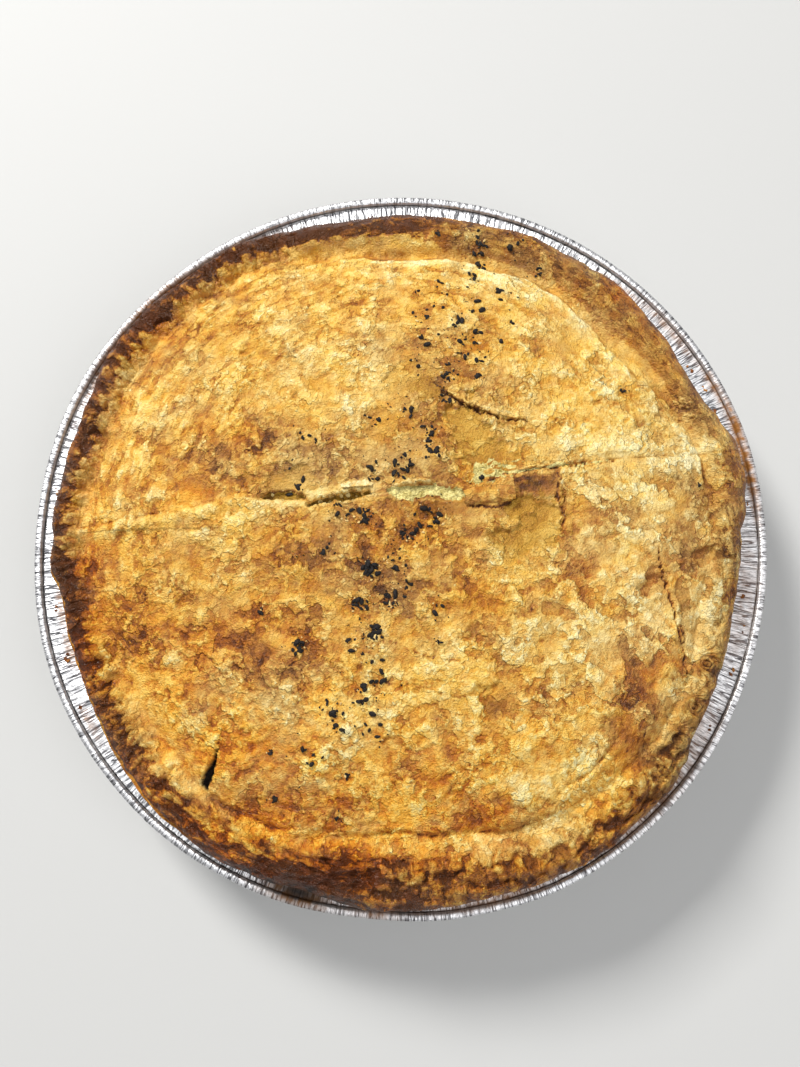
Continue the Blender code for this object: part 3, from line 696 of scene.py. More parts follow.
def browning(x, y, state):
    """The number from 0, cream, to 1, burnt black, at each point, with painted light summed in: paler on
    crests and lips, darker in creases, cracks and at the foot of steps.
    """
    share = state["share"]
    _, degrees = polar(x, y)
    tone = spread(x, y, BROWN_PATCHES, 0.34) - spread(x, y, PALE_PATCHES)
    slant_x, slant_y = x + 0.6 * y + 4 * noise(x / 13, y / 13, 103), y - 0.6 * x
    tone = tone + 0.06 * layered(slant_x / 24, slant_y / 18, 101, 2)
    tone = tone + 0.05 * layered(slant_x / 8, slant_y / 6, 102, 3, 0.6)
    # step: a painted shadow at the foot of each flake.
    tone = tone - 0.06 * state["flake"] + 0.08 * state["step"] - 0.07 * state["crumple"]
    tone = tone - 0.08 * state["blister"] + 0.07 * state["blister_ring"] + state["flap_tone"]
    tone = tone - 0.2 * state["lip"] - 0.12 * state["seam_ridge"] - 0.12 * state["strand"]
    # A painted shadow at the foot of the lid's step, and a painted highlight on its lip.
    tone = tone + 0.14 * state["hollow"] + 0.26 * state["foot"] - 0.21 * state["lid_rim"]
    # Painted shade along the creases at the bottom.
    tone = tone + 0.28 * state["fold_line"]
    early = along_border(degrees, 20, 84, 16)
    late = along_border(degrees, 84, 126, 12)
    border = ramp(share, 0.15, 0.7) * (1 - early - late) + ramp(share, 0.0, 0.3) * early
    border = border + ramp(share, 0.2, 0.6) * late
    strength = np.interp(degrees, *zip(*BORDER_BROWNING)) + 0.12 * late
    # The brown rim is kept off fold crests and knob tops, which leaves them paler: a painted highlight.
    state["rim"] = border * (1 + 0.3 * noise(x / 6, y / 6, 104)) - 0.15 * state["fold"] - 0.6 * state["knob"]
    state["rim_tone"] = 0.68 * strength * ramp(share, 0.0, 0.1) * (1 - state["base_sheet"])
    tone = tone + 0.34 * strength * border
    # Thin outer edges brown more, and fold crests and knob tops are painted paler as a highlight.
    tone = tone + 0.07 * ramp(share, 0.7, 1.0) - 0.05 * state["fold"] - 0.15 * state["knob"]
    # The gaps between folds are painted darker as shade.
    tone = tone + 0.05 * state["crease"] + 0.05 * state["curl_hollow"] - 0.05 * state["curl"]
    sheet = state["base_sheet"]
    # A painted shadow in the gap between top crust and base sheet.
    tone = tone * (1 - sheet) + sheet * (0.52 + 0.06 * noise(x / 3, y / 3, 108)) + 0.3 * state["base_gap"]
    # Painted shade in open cracks, hairline cracks and the pressed seam.
    tone = tone + 0.50 * state["crack"] + 0.16 * state["hair"] + 0.15 * state["seam_crease"]
    return np.clip(tone + 0.5 * state["shadow_edge"], 0, 1)


ORANGE_PATCHES = (
    (-40, -62, 44, 26, 0.6), (-64, 12, 18, 6, 0.7), (60, -66, 14, 8, 0.4), (20, -80, 40, 10, 0.6),
    (-86, 20, 8, 40, 0.3), (82, -24, 3, 14, 0.8), (74, -17, 6, 4, 0.5), (20, -96, 30, 8, 0.2),
    (-26, -93, 34, 10, 0.9), (-97, -24, 8, 18, 1.0), (-52, -50, 34, 20, 0.3), (84, -9, 8, 7, 0.5),
    (72, -44, 17, 14, 0.45), (25, -79, 13, 7, 0.6), (20, -63, 28, 9, 0.35), (-80, 63, 10, 15, 0.5),
    (-66, 36, 9, 12, 0.6), (-45, -82, 34, 11, 0.6), (-28, -98, 26, 6, 0.6), (-99, -26, 7, 12, 0.6),
    (-56, -61, 20, 14, 0.35), (-69, -36, 10, 10, 0.4), (-35, -54, 12, 8, 0.4), (24, -82, 9, 6, 0.5),
    (39, -60, 10, 16, 0.35), (-5, -84, 10, 6, 0.4), (-50, 81, 14, 6, 0.5), (5, 83, 14, 6, 0.4),
    (70, 80, 10, 7, 0.9), (75, -41, 15, 14, 0.5), (83, -8, 8, 7, 0.5), (-29, -98, 26, 6, 0.3),
    (9, -67, 9, 7, 0.3), (54, -9, 9, 8, 0.4), (39, -52, 9, 8, 0.3), (84, -8, 8, 6, 0.4),
    (-97, -30, 7, 14, 0.5), (-6, -83, 9, 6, 0.3), (24, -83, 9, 6, 0.3), (-18, -99, 14, 5, 0.5),
    (40, 8, 8, 6, 0.4), (69, 81, 9, 7, 0.3),
)
DUSTY_PATCHES = (
    (94, -6, 16, 60, 0.5), (70, -34, 22, 22, 0.35), (46, -30, 16, 14, 0.25), (-28, 20, 28, 13, 0.5),
    (-4, -12, 22, 10, 0.4), (12, 42, 30, 14, 0.3), (50, 88, 30, 9, 0.5), (-36, -50, 20, 12, 0.4),
    (66, 12, 24, 16, 0.5), (84, -66, 14, 14, 0.6), (-14, 52, 24, 10, 0.3), (41, 13, 7, 3.5, 0.2),
    (91, 35, 12, 12, 0.5), (61, 69, 14, 8, 0.5), (24, 100, 10, 6, 0.5), (-11, 13, 26, 10, 0.4),
    (-3, -19, 16, 8, 0.35), (-24, -39, 8, 6, 0.4), (-35, 6, 9, 6, 0.3), (24, 6, 9, 6, 0.7),
    (-38, -69, 10, 7, 0.5), (-66, -77, 9, 10, 0.4), (-6, 22, 9, 7, 0.4), (23, 38, 9, 8, 0.4),
    (7, 52, 9, 7, 0.3), (-66, 53, 9, 8, 0.4), (-37, -9, 9, 7, 0.3),
)
ROSY_PATCHES = (
    (-70, -74, 22, 8, 0.5), (-98, -6, 6, 12, 0.5), (-30, 102, 34, 5, 0.4), (60, 90, 22, 8, 0.6),
    (90, 50, 8, 22, 0.3), (-44, -36, 14, 9, 0.6), (94, -7, 8, 5, 0.9), (85, -20, 5, 6, 0.9),
    (76, -16, 6, 5, 0.8), (24, -92, 26, 5, 0.7), (41, 13, 7, 3.5, 0.8), (-96, 36, 8, 26, 0.5),
    (80, -32, 16, 26, 0.5), (54, -8, 9, 12, 0.8), (82, -6, 9, 9, 0.6), (74, -41, 16, 14, 0.5),
    (80, 74, 30, 12, 0.5), (0, -98, 60, 6, 0.15),
)
PLATED_PATCHES = (
    (64, -30, 26, 26, 0.9), (84, -16, 14, 30, 0.7), (34, -50, 40, 16, 0.6), (-40, -34, 30, 16, 0.5),
    (-66, -60, 16, 18, 0.4), (66, 14, 26, 18, 0.6), (-50, 24, 24, 10, 0.4),
)


def hues(x, y):
    """How far the gold turns to orange, to dusty tan and to rosy brown at each point, 0 to 1."""
    warm = 0.35 * noise(x / 17, y / 12, 106) + 0.35 * noise(x / 5, y / 4, 107)
    dusty = 0.12 + 0.4 * noise(x / 14, y / 14, 109) + 0.3 * noise(x / 4, y / 4, 110)
    rosy = 0.1 + 0.3 * noise(x / 11, y / 9, 116) + 0.3 * noise(x / 3.4, y / 3.4, 117)
    crimped = along_border(np.degrees(np.arctan2(y, x)), 118, 240, 14)
    rosy = rosy + 0.2 * crimped * ramp(np.hypot(x, y), 92, 101)
    return {
        "warm": np.clip(spread(x, y, ORANGE_PATCHES, warm), 0, 1),
        "dusty": np.clip(spread(x, y, DUSTY_PATCHES, dusty), 0, 1),
        "rosy": np.clip(spread(x, y, ROSY_PATCHES, rosy), 0, 1),
        "plated": np.clip(spread(x, y, PLATED_PATCHES, 0.25), 0, 1),
    }


# %% Which way the dough is wrinkled
def wrinkle_flow(x, y, share):
    """Place along and across the wrinkles, their strength, and how far flakes lie the same way.

    The dough was gathered outwards by the fingers on the left, and lies in layers below. On the
    right it was rolled along the rim, round the curls. The top sheet of the dome was stretched
    along the ring at the upper left, so its flakes are long ones there.
    """
    radius, degrees = polar(x, y)
    turn = np.arctan2(y, x)
    left_arc = np.mod(turn, math.tau) * 100
    right_arc = np.mod(turn + math.pi / 2, math.tau) * 100
    round_curls = sum(
        3.5 * hill(np.hypot(x - middle_x, y - middle_y), 1.3 * reach) for middle_x, middle_y, reach in CURLS
    )
    stretches = (
        (0.7, 112, 224, radius / 6, left_arc / 2.6),
        (0.8, 224, 266, left_arc / 6, radius / 2.0),
        (0.6, 266, 304, radius / 6, left_arc / 2.8),
        (0.9, 304, 366, right_arc / 6, radius / 2.2 + round_curls),
        (0.6, 6, 112, right_arc / 6, radius / 2.2),
    )
    on_border = ramp(share, 0.1, 0.4)
    zones = [
        (strength * on_border * along_border(degrees, start, end), along, across)
        for strength, start, end, along, across in stretches
    ]
    dome = (1 - ramp(share, 0.0, 0.2)) * ramp(radius, 40, 66) * ramp(y - 0.6 * x, 10, 60)
    zones.append((dome, turn * 8.5, radius / 3.4))
    strengths, along, across = (np.stack(column) for column in zip(*zones))
    first = strengths.argmax(0)
    second_best, best = np.sort(strengths, 0)[-2:]
    clear = best * ramp(best - second_best, 0, 0.3)
    stretched = first == len(zones) - 1
    return np.choose(first, along), np.choose(first, across), clear * ~stretched, clear * stretched


# %% [markdown]
# ## The crust as a mesh
#
# The lid is too finely broken for one smooth cage, so it starts as two fine grids, one for each
# sheet of pastry either side of the seam, which is how the real lid was laid. Each grid's square
# is drawn round into half a disc, then the whole surface is lifted by the crust function. The rim
# is extruded down to the flange and in under it, so each half is a closed body.

# %% Helpers for meshes
def activate(piece):
    """Deselects everything and makes one piece the active, selected one."""
    bpy.ops.object.select_all(action="DESELECT")
    piece.select_set(True)
    bpy.context.view_layer.objects.active = piece


def places(piece):
    """The piece's vertices as rows of x, y and z in mm."""
    flat = np.empty(len(piece.data.vertices) * 3)
    piece.data.vertices.foreach_get("co", flat)
    return flat.reshape(-1, 3) / MM


def set_places(piece, rows):
    """Moves the vertices to rows of x, y and z in mm."""
    piece.data.vertices.foreach_set("co", (rows * MM).ravel())
    piece.data.update()


def new_grid(name, across, up):
    """A flat grid to be drawn over the crust, and its points' u and v, from -1 to 1."""
    bpy.ops.object.select_all(action="DESELECT")
    bpy.ops.mesh.primitive_grid_add(x_subdivisions=across, y_subdivisions=up, size=2 * MM)
    grid = bpy.context.object
    grid.name = name
    u, v, _ = places(grid).T
    return grid, u, v


def set_mask(piece, name, values):
    """Stores one number per vertex, which a material reads by name."""
    mask = piece.data.attributes.new(name, "FLOAT", "POINT")
    mask.data.foreach_set("value", np.ascontiguousarray(values, np.float32))


def set_flow(piece, along, across, strength):
    """Stores three numbers per vertex: the place along and across the wrinkles, and their strength."""
    flow = piece.data.attributes.new("flow", "FLOAT_VECTOR", "POINT")
    rows = np.stack([along, across, strength], -1)
    flow.data.foreach_set("vector", np.ascontiguousarray(rows, np.float32).ravel())


def triangles(piece):
    """How many triangles the faces come to."""
    return sum(len(polygon.vertices) - 2 for polygon in piece.data.polygons)


# %% Draw a grid round into half a disc
GRID_ACROSS = 400
SEAM_RIGHT_END = 14.4
SEAM_LEFT_END = 179.2
PLAIN_MASKS = ("rim", "rim_tone", "raw", "strip", "burnt_and_slit_black", "bare", "bare_tone")


def half_plan(u, v, side):
    """Draws a grid, u from -1 to 1 and v from the seam out, round into one half of the lid."""
    disc_x = u * np.sqrt(1 - v * v / 2)
    disc_y = v * np.sqrt(1 - u * u / 2)
    turn = np.degrees(np.arctan2(np.abs(disc_y), disc_x))
    upper_span = SEAM_LEFT_END - SEAM_RIGHT_END
    span = upper_span if side > 0 else 360 - upper_span
    degrees = SEAM_RIGHT_END + side * turn * span / 180
    radius = np.hypot(disc_x, disc_y) * edge_radius(degrees)
    x = radius * np.cos(np.radians(degrees))
    y = radius * np.sin(np.radians(degrees))
    end = np.where(x > 0, SEAM_RIGHT_END, SEAM_LEFT_END)
    straight = x * np.tan(np.radians(end))
    return x, y + (seam_y(x) - straight) * (1 - v * v) * ramp(1 - np.abs(u), 0, 0.04)


def lid_half(name, side):
    """The top of one sheet of the lid: side 1 lies beyond the seam, side -1 this side of it."""
    half, u, v = new_grid(name, GRID_ACROSS, GRID_ACROSS // 2)
    x, y = half_plan(u, (v + side) / 2, side)
    height, state = crust(x, y)
    set_places(half, np.stack([x, y, height], -1))
    along, across, strength, stretched = wrinkle_flow(x, y, state["share"])
    set_flow(half, along, across, strength)
    masks = {"bake": browning(x, y, state), "stretched": stretched, **hues(x, y)}
    masks.update((plain, state[plain]) for plain in PLAIN_MASKS)
    crimps = ramp(state["share"], 0.1, 0.5) * (1 - state["rolled"])
    smooth = 0.5 * state["lip"] + 0.2 * state["rolled"] + 0.3 * state["hollow"] + 0.6 * state["flap"]
    smooth = smooth + state["base_sheet"] + 0.15 * crimps
    calm = 0.75 + 0.8 * noise((x + 0.7 * y) / 15, (y - 0.7 * x) / 15, 118)
    masks["scaly"] = np.clip(calm - smooth, 0.05, 1)
    masks["ochre"] = np.clip(state["ochre"] + 0.6 * state["hollow"], 0, 1)
    # groove carries the painted shade of the border's crevices to the material.
    masks["groove"] = state["groove"] * ramp(state["share"], 0.1, 0.4) * (1 - state["base_sheet"])
    for mask_name, values in masks.items():
        set_mask(half, mask_name, values)
    return half


# %% Close a half below
CRUST_LIMIT = 112.9
ROWS_BELOW = (
    (34.3, CRUST_LIMIT, 0.5), (33.2, CRUST_LIMIT, 0.1), (32.1, CRUST_LIMIT, 0.6),
    (31.9, 102.3, 0), (1.6, 86.6, 0),
)


def pull_row(piece):
    """Extrudes the selected edges of the rim and returns the numbers of the new row's vertices."""
    bpy.ops.object.mode_set(mode="EDIT")
    bpy.ops.mesh.extrude_edges_move(TRANSFORM_OT_translate={"value": (0, 0, -MM)})
    bpy.ops.object.mode_set(mode="OBJECT")
    chosen = np.zeros(len(piece.data.vertices), bool)
    piece.data.vertices.foreach_get("select", chosen)
    return np.flatnonzero(chosen)


def bake_side(piece, numbers):
    """Browns the side and carries the wrinkles on down it, so that the rim's colours don't run down."""
    x, y, z = places(piece)[numbers].T
    radius, degrees = polar(x, y)
    unrolled = 1 + np.clip(EDGE_TOP + 2 - z, 0, 8) / radius
    along, across, strength, _ = wrinkle_flow(x * unrolled, y * unrolled, 1 + 0 * x)
    mottled = noise(x / 7, y / 7 + z / 3, 119)
    # The side gets the border's masks too; its groove is the painted shade of the crevices.
    values = {
        "flow": np.stack([along, across, 0.7 * strength], -1),
        "bake": 0.54 + 0.12 * mottled + 0.14 * along_border(degrees, 238, 280, 16),
        "rim": 0.4 + mottled, "rim_tone": 0.14 + 0 * x, "scaly": 0.5 + 0 * x, "groove": 0.2 + 0.3 * mottled,
    }
    for name, chosen in values.items():
        stored = piece.data.attributes[name].data
        field, parts = ("vector", 3) if name == "flow" else ("value", 1)
        held = np.empty(len(stored) * parts, np.float32)
        stored.foreach_get(field, held)
        held.reshape(-1, parts)[numbers] = chosen.reshape(-1, parts)
        stored.foreach_set(field, held)


def close_below(piece):
    """Draws the rim down its layered side, in over the flange and down inside the tin."""
    activate(piece)
    bpy.ops.object.mode_set(mode="EDIT")
    bpy.ops.mesh.select_mode(type="EDGE")
    bpy.ops.mesh.select_all(action="DESELECT")
    bpy.ops.mesh.select_non_manifold()
    bpy.ops.mesh.mark_sharp()
    for height, limit, draw_in in ROWS_BELOW:
        row = pull_row(piece)
        rows = places(piece)
        x, y, _ = rows[row].T
        radius, degrees = polar(x, y)
        edge = edge_radius(degrees)
        near_edge = ramp(radius / edge, 0.955, 0.98)
        target = np.minimum(radius, np.minimum(edge - draw_in * near_edge, limit))
        rows[row] = np.stack([x * target / radius, y * target / radius, height + 0 * x], -1)
        set_places(piece, rows)
        if limit == CRUST_LIMIT:
            bake_side(piece, row)
    bpy.ops.object.mode_set(mode="EDIT")
    bpy.ops.mesh.edge_face_add()
    bpy.ops.mesh.select_all(action="SELECT")
    bpy.ops.mesh.remove_doubles(threshold=0.002 * MM)
    bpy.ops.object.mode_set(mode="OBJECT")
    bpy.ops.object.shade_smooth()


lid_halves = []
for name, side in (("lid_upper", 1), ("lid_lower", -1)):
    half = lid_half(name, side)
    close_below(half)
    lid_halves.append(half)
    print(name, triangles(half), "triangles, up to", round(float(places(half)[:, 2].max()), 1), "mm")


# %% [markdown]
# ## Loose flakes
#
# Some sheets of the lid came up along the seam and the tear and curled as they dried. Each is a
# small grid drawn over the crust, with a torn outline and one side lifted, and then given the
# thickness of a pastry leaf by a Solidify modifier.

# %% Flakes and a rolled-up flake
LEAF = 0.18
CLEAR_OF_LID = 0.05
FLAKES = (
    (-13, 12.2, 9, 2.4, 4, 0.5, -0.14), (4, 12.6, 11, 2.2, 2, 0.5, -0.12),
    (40, 18.4, 10, 2.4, 10, 0.5, -0.1), (17, 39.6, 8, 3.6, -42, 0.9, -0.06),
    (25, 36.0, 9, 3.4, -24, 0.8, -0.06), (34, 34, 8, 2.4, -6, 0.4, -0.05),
    (82, -30, 6, 2.0, 98, 0.5, 0.05), (86, -42, 4, 2.4, 60, 0.6, 0.05),
    (49.5, 8, 8, 2.4, 265, 0.4, -0.05),
)


def finish_leaf(leaf, x, y, height, tone):
    """Draws a loose leaf over the crust and gives it the lid's masks and its thickness."""
    set_places(leaf, np.stack([x, y, height], -1))
    masks = {"bake": np.clip(tone, 0, 1), "scaly": 0.6 + 0 * x, **hues(x, y)}
    for name, values in masks.items():
        set_mask(leaf, name, values)
    activate(leaf)
    solid = leaf.modifiers.new("Leaf", "SOLIDIFY")
    solid.thickness = LEAF * MM
    solid.offset = 1
    bpy.ops.object.modifier_apply(modifier=solid.name)
    bpy.ops.object.shade_smooth_by_angle(angle=math.radians(50))
    return leaf


def flake(number, middle_x, middle_y, length, width, turn, curl, tone):
    """A torn sheet on the lid: its far side is lifted by curl mm, tone is how brown it is."""
    leaf, u, v = new_grid(f"flake_{number}", int(length * 4), 12)
    taper = np.sqrt(np.clip(1 - 0.8 * u ** 4, 0.05, 1))
    ragged = 1 + 0.35 * noise(u * length / 2.4, v * 0 + number, 111)
    along = u * length / 2 * (1 + 0.15 * noise(v * 1.5 + number, u * 0, 112))
    across = (v + 1) / 2 * width * taper * ragged - 0.3
    along = along + 0.3 * noise(along / 1.5, across / 1.5 + number, 113)
    cos_turn, sin_turn = math.cos(math.radians(turn)), math.sin(math.radians(turn))
    x = middle_x + along * cos_turn - across * sin_turn
    y = middle_y + along * sin_turn + across * cos_turn
    ground, state = crust(x, y)
    rooted = crust(np.full(1, middle_x), np.full(1, middle_y))[0][0]
    lifted = (1 - (v + 1) / 2) ** 2
    height = ground + CLEAR_OF_LID + curl * lifted * (1 + 0.4 * noise(along / 3, v + number, 114))
    height = np.maximum(height, ground + CLEAR_OF_LID + 0.5 * lifted * (rooted - ground))
    tone = browning(x, y, state) + tone + 0.12 * noise(x / 1.6, y / 1.6, 115)
    return finish_leaf(leaf, x, y, height, tone)


def rolled_flake():
    """The golden-brown flap beside the seam that arched up and folded back over itself."""
    leaf, u, v = new_grid("flake_rolled", 52, 34)
    turn = math.radians(105) * v
    reach = 2.5 * (1 + 0.1 * noise(u * 3, v * 2, 121)) * (1 - 0.3 * np.abs(u) ** 4)
    along = u * 7.4 * (1 + 0.05 * noise(v * 4, u * 0, 122))
    x = 26.4 + along - 0.1 * reach * np.sin(turn)
    y = 9.6 + 0.1 * along + reach * np.sin(turn) + 0.3 * noise(u * 5, v * 3, 124)
    ground, _ = crust(x, y)
    middle = crust(np.full(1, 27.0), np.full(1, 9.6))[0][0]
    arch = middle + 0.2 + 1.5 * np.cos(turn) * (1 - 0.3 * np.abs(u) ** 3) + 0.12 * noise(u * 6, v * 4, 125)
    height = np.maximum(arch, np.minimum(ground, middle + 0.4) + CLEAR_OF_LID)
    tone = 0.5 + 0.12 * noise(x / 2.2, y / 2.2, 123) + 0.12 * noise(x / 6, y / 3, 126)
    return finish_leaf(leaf, x, y, height, tone + 0.2 * ramp(np.abs(v), 0.75, 1))


def join(pieces, name):
    """Joins pieces into one, whose place is in its mesh."""
    activate(pieces[0])
    for piece in pieces:
        piece.select_set(True)
    bpy.ops.object.join()
    joined = bpy.context.object
    joined.name = name
    bpy.ops.object.transform_apply(location=True, rotation=True, scale=True)
    return joined


torn_flakes = [flake(number, *row) for number, row in enumerate(FLAKES)]
loose_flakes = join([*torn_flakes, rolled_flake()], "loose_flakes")
print("loose flakes", triangles(loose_flakes), "triangles")

# %% [markdown]
# ## The foil tin
#
# A foil tin is pressed from a flat disc, so the spare foil at the wall and flange has to go
# somewhere: it gathers into fine radial wrinkles, and the edge is rolled into a bead. The tin
# starts as a circle that is extruded ring by ring along the CAD section. Wrinkles are then pressed
# into the rings, and a Solidify modifier gives the foil its thickness.

# %% The tin's section
TIN_RADIUS = (TIN_HIGH.x - TIN_LOW.x) / 2 / MM
TIN_HEIGHT = TIN_HIGH.z / MM
FOIL = 0.2
WALL_FOOT = (88.4, 2.6)
WALL_TOP_RADIUS = 103.5
FLANGE_END_RADIUS = 113.8
FLANGE_HEIGHT = 31.4
BEAD_RADIUS = 1.0
BEAD_SQUARENESS = 0.65
BEAD_TURNS = (190, 160, 130, 100, 70, 40, 10, -20, -50, -80, -110)
AROUND = 1450
OUT_OF_ROUND = (
    (0, 0.0), (18, 0.5), (50, 0.25), (75, 0.2), (100, 0.0), (130, -0.35), (155, 0.3), (178, -0.25),
    (200, 0.5), (225, -0.1), (248, -0.5), (264, -1.1), (280, -0.2), (295, 0.6), (320, 0.3), (342, -0.2),
)


def tin_rings():
    """Radius and height of each ring of the foil, in mm, from the base out to the bead."""
    foot_radius, foot_height = WALL_FOOT
    rings = [(8, 0.25), (40, 0.25), (76, 0.25), (78.5, 0), (83, 0), (85.5, 0.1), (87.4, 0.9), WALL_FOOT]
    for share in (0.1, 0.28, 0.48, 0.68, 0.86, 0.97):
        radius = foot_radius + (WALL_TOP_RADIUS - foot_radius) * share
        rings.append((radius, foot_height + (FLANGE_HEIGHT - foot_height) * share))
    for share in (0.04, 0.13, 0.27, 0.42, 0.57, 0.72, 0.85, 0.95, 1.0):
        rings.append((WALL_TOP_RADIUS + (FLANGE_END_RADIUS - WALL_TOP_RADIUS) * share, FLANGE_HEIGHT))
    for degrees in BEAD_TURNS:
        turn = math.radians(degrees)
        across, up = (
            math.copysign(abs(part) ** BEAD_SQUARENESS, part) for part in (math.cos(turn), math.sin(turn))
        )
        rings.append((TIN_RADIUS - BEAD_RADIUS * (1 - across), TIN_HEIGHT - BEAD_RADIUS * (1 - up)))
    return rings


def press_wrinkles(rows):
    """The creased foil's points, how creased each is, and the ring in the gap under the bead where a shadow
    is painted.
    """
    x, y, z = rows.T
    radius, degrees = polar(x, y)
    wheel_x, wheel_y = x / radius, y / radius
    fold = noise(34 * wheel_x + z / 60, 34 * wheel_y, 201)
    fine = noise(78 * wheel_x + radius / 13, 78 * wheel_y, 202)
    finest = noise(130 * wheel_x, 130 * wheel_y + radius / 9, 203)
    crease = 1 - np.clip(np.abs(noise(64 * wheel_x + radius / 20, 64 * wheel_y, 204)) / 0.14, 0, 1)
    wall = ramp(radius, 88.6, 92) * ramp(-radius, -105, -102)
    flange = ramp(radius, 103, 105) * ramp(-radius, -114, -113.5)
    bead = ramp(radius, 113.8, 114.4)
    base = ramp(-radius, -87, -80)
    out = wall * (0.42 * fold + 0.16 * fine - 0.2 * crease) + bead * (0.06 * finest + 0.05 * fine)
    out = out + outline_radius(OUT_OF_ROUND, degrees) * ramp(radius, 90, 113)
    lift = flange * (0.13 * fine + 0.10 * finest - 0.26 * crease + 0.10 * fold)
    lift = lift + bead * (0.04 * finest + 0.04 * fine)
    lift = lift + base * 0.12 * np.abs(layered(x / 14, y / 14, 205, 3))
    scale = (radius + out) / radius
    # The gap under the bead, where a near-black line is painted as its shadow.
    shut = (np.abs(radius - FLANGE_END_RADIUS - 0.15) < 0.25) * (z < FLANGE_HEIGHT + 0.8)
    return np.stack([x * scale, y * scale, z + lift], -1), 0.3 * wall + flange + 0.8 * bead, shut


# %% Extrude the tin ring by ring
def make_tin():
    """The open tray: a circle extruded along the section, then creased."""
    rings = tin_rings()
    bpy.ops.object.select_all(action="DESELECT")
    bpy.ops.mesh.primitive_circle_add(vertices=AROUND, radius=rings[0][0] * MM, fill_type="NGON")
    tin = bpy.context.object
    tin.name = "pressed_foil"
    rows = places(tin)
    rows[:, 2] = rings[0][1]
    set_places(tin, rows)
    bpy.ops.object.mode_set(mode="EDIT")
    bpy.ops.mesh.select_mode(type="EDGE")
    bpy.ops.mesh.select_all(action="SELECT")
    for (radius, height), (before, low) in zip(rings[1:], rings):
        bpy.ops.mesh.extrude_edges_move(TRANSFORM_OT_translate={"value": (0, 0, (height - low) * MM)})
        grow = radius / before
        bpy.ops.transform.resize(value=(grow, grow, 1), center_override=(0, 0, 0))
    bpy.ops.mesh.select_all(action="SELECT")
    bpy.ops.mesh.normals_make_consistent(inside=False)
    bpy.ops.object.mode_set(mode="OBJECT")
    rows, creased, shut = press_wrinkles(places(tin))
    set_places(tin, rows)
    set_mask(tin, "creased", creased)
    set_mask(tin, "bead_gap_shadow", shut)
    return tin


def face_down(tin):
    """An open tray has no inside yet, so its faces are turned until those of the base look down."""
    base_face = min(tin.data.polygons, key=lambda polygon: polygon.center.length)
    if base_face.normal.z > 0:
        bpy.ops.object.mode_set(mode="EDIT")
        bpy.ops.mesh.select_all(action="SELECT")
        bpy.ops.mesh.flip_normals()
        bpy.ops.object.mode_set(mode="OBJECT")


pressed_foil = make_tin()
face_down(pressed_foil)
print("foil tray", len(pressed_foil.data.vertices), "points before it gets its thickness")

# %% Stains and thickness
FOIL_STAINS = (
    (315, 112, 14, 3.0, 0.6), (322, 109, 10, 3.5, 0.5), (350, 110, 12, 4, 0.35), (12, 114, 8, 1.4, 1.0),
    (18, 115, 6, 1.2, 1.0), (26, 114, 4, 1.2, 0.7), (38, 113, 7, 1.5, 0.5), (48, 112, 5, 1.2, 0.5),
    (120, 112, 8, 2, 0.5), (140, 113, 13, 1.6, 1.3), (192, 109, 3, 1.0, 0.8), (199, 109, 3, 1.2, 0.7),
    (211, 112, 3, 1.0, 0.6), (254, 112, 5, 3.0, 1.2), (266, 113, 4, 2.0, 0.7), (285, 113, 12, 1.5, 0.6),
)


def stain_foil(tin):
    """Marks where fat and juice ran over the flange and baked on, in degrees and mm."""
    x, y, _ = places(tin).T
    radius, degrees = polar(x, y)
    marks = np.zeros(len(x))
    for middle, reach, width_degrees, width, amount in FOIL_STAINS:
        away = np.abs(np.mod(degrees - middle + 180, 360) - 180)
        marks = np.maximum(marks, amount * hill(away, width_degrees) * hill(radius - reach, width))
    marks = marks * (1 + 0.7 * noise(x / 2.2, y / 2.2, 211) + 0.4 * noise(x / 0.9, y / 0.9, 212))
    set_mask(tin, "stain", np.clip(marks, 0, 1))
    # A near-black patch on the flange at 254°, below where the crust draws back.
    set_mask(tin, "black_flange_patch", hill(degrees - 254, 4.5) * hill(radius - 111.5, 3))


stain_foil(pressed_foil)
activate(pressed_foil)
foil_wall = pressed_foil.modifiers.new("Foil", "SOLIDIFY")
foil_wall.thickness = FOIL * MM
foil_wall.offset = -1
bpy.ops.object.modifier_apply(modifier=foil_wall.name)
bpy.ops.object.shade_smooth()
print("tin", triangles(pressed_foil), "triangles, reaches", round(float(places(pressed_foil)[:, 0].max()), 2))

# %% [markdown]
# ## Cracked pepper
#
# Pepper cracked in a mill breaks into angular shards, curved bits of husk and pale crumbs of core.
# A few of each are modelled, copied and turned at random, and set down on the crust where the cook
# scattered them: a loose band across the middle, thickest by the seam. A ray sent down on to
# the crust finds where each grain lies, and which way the crust slopes there.

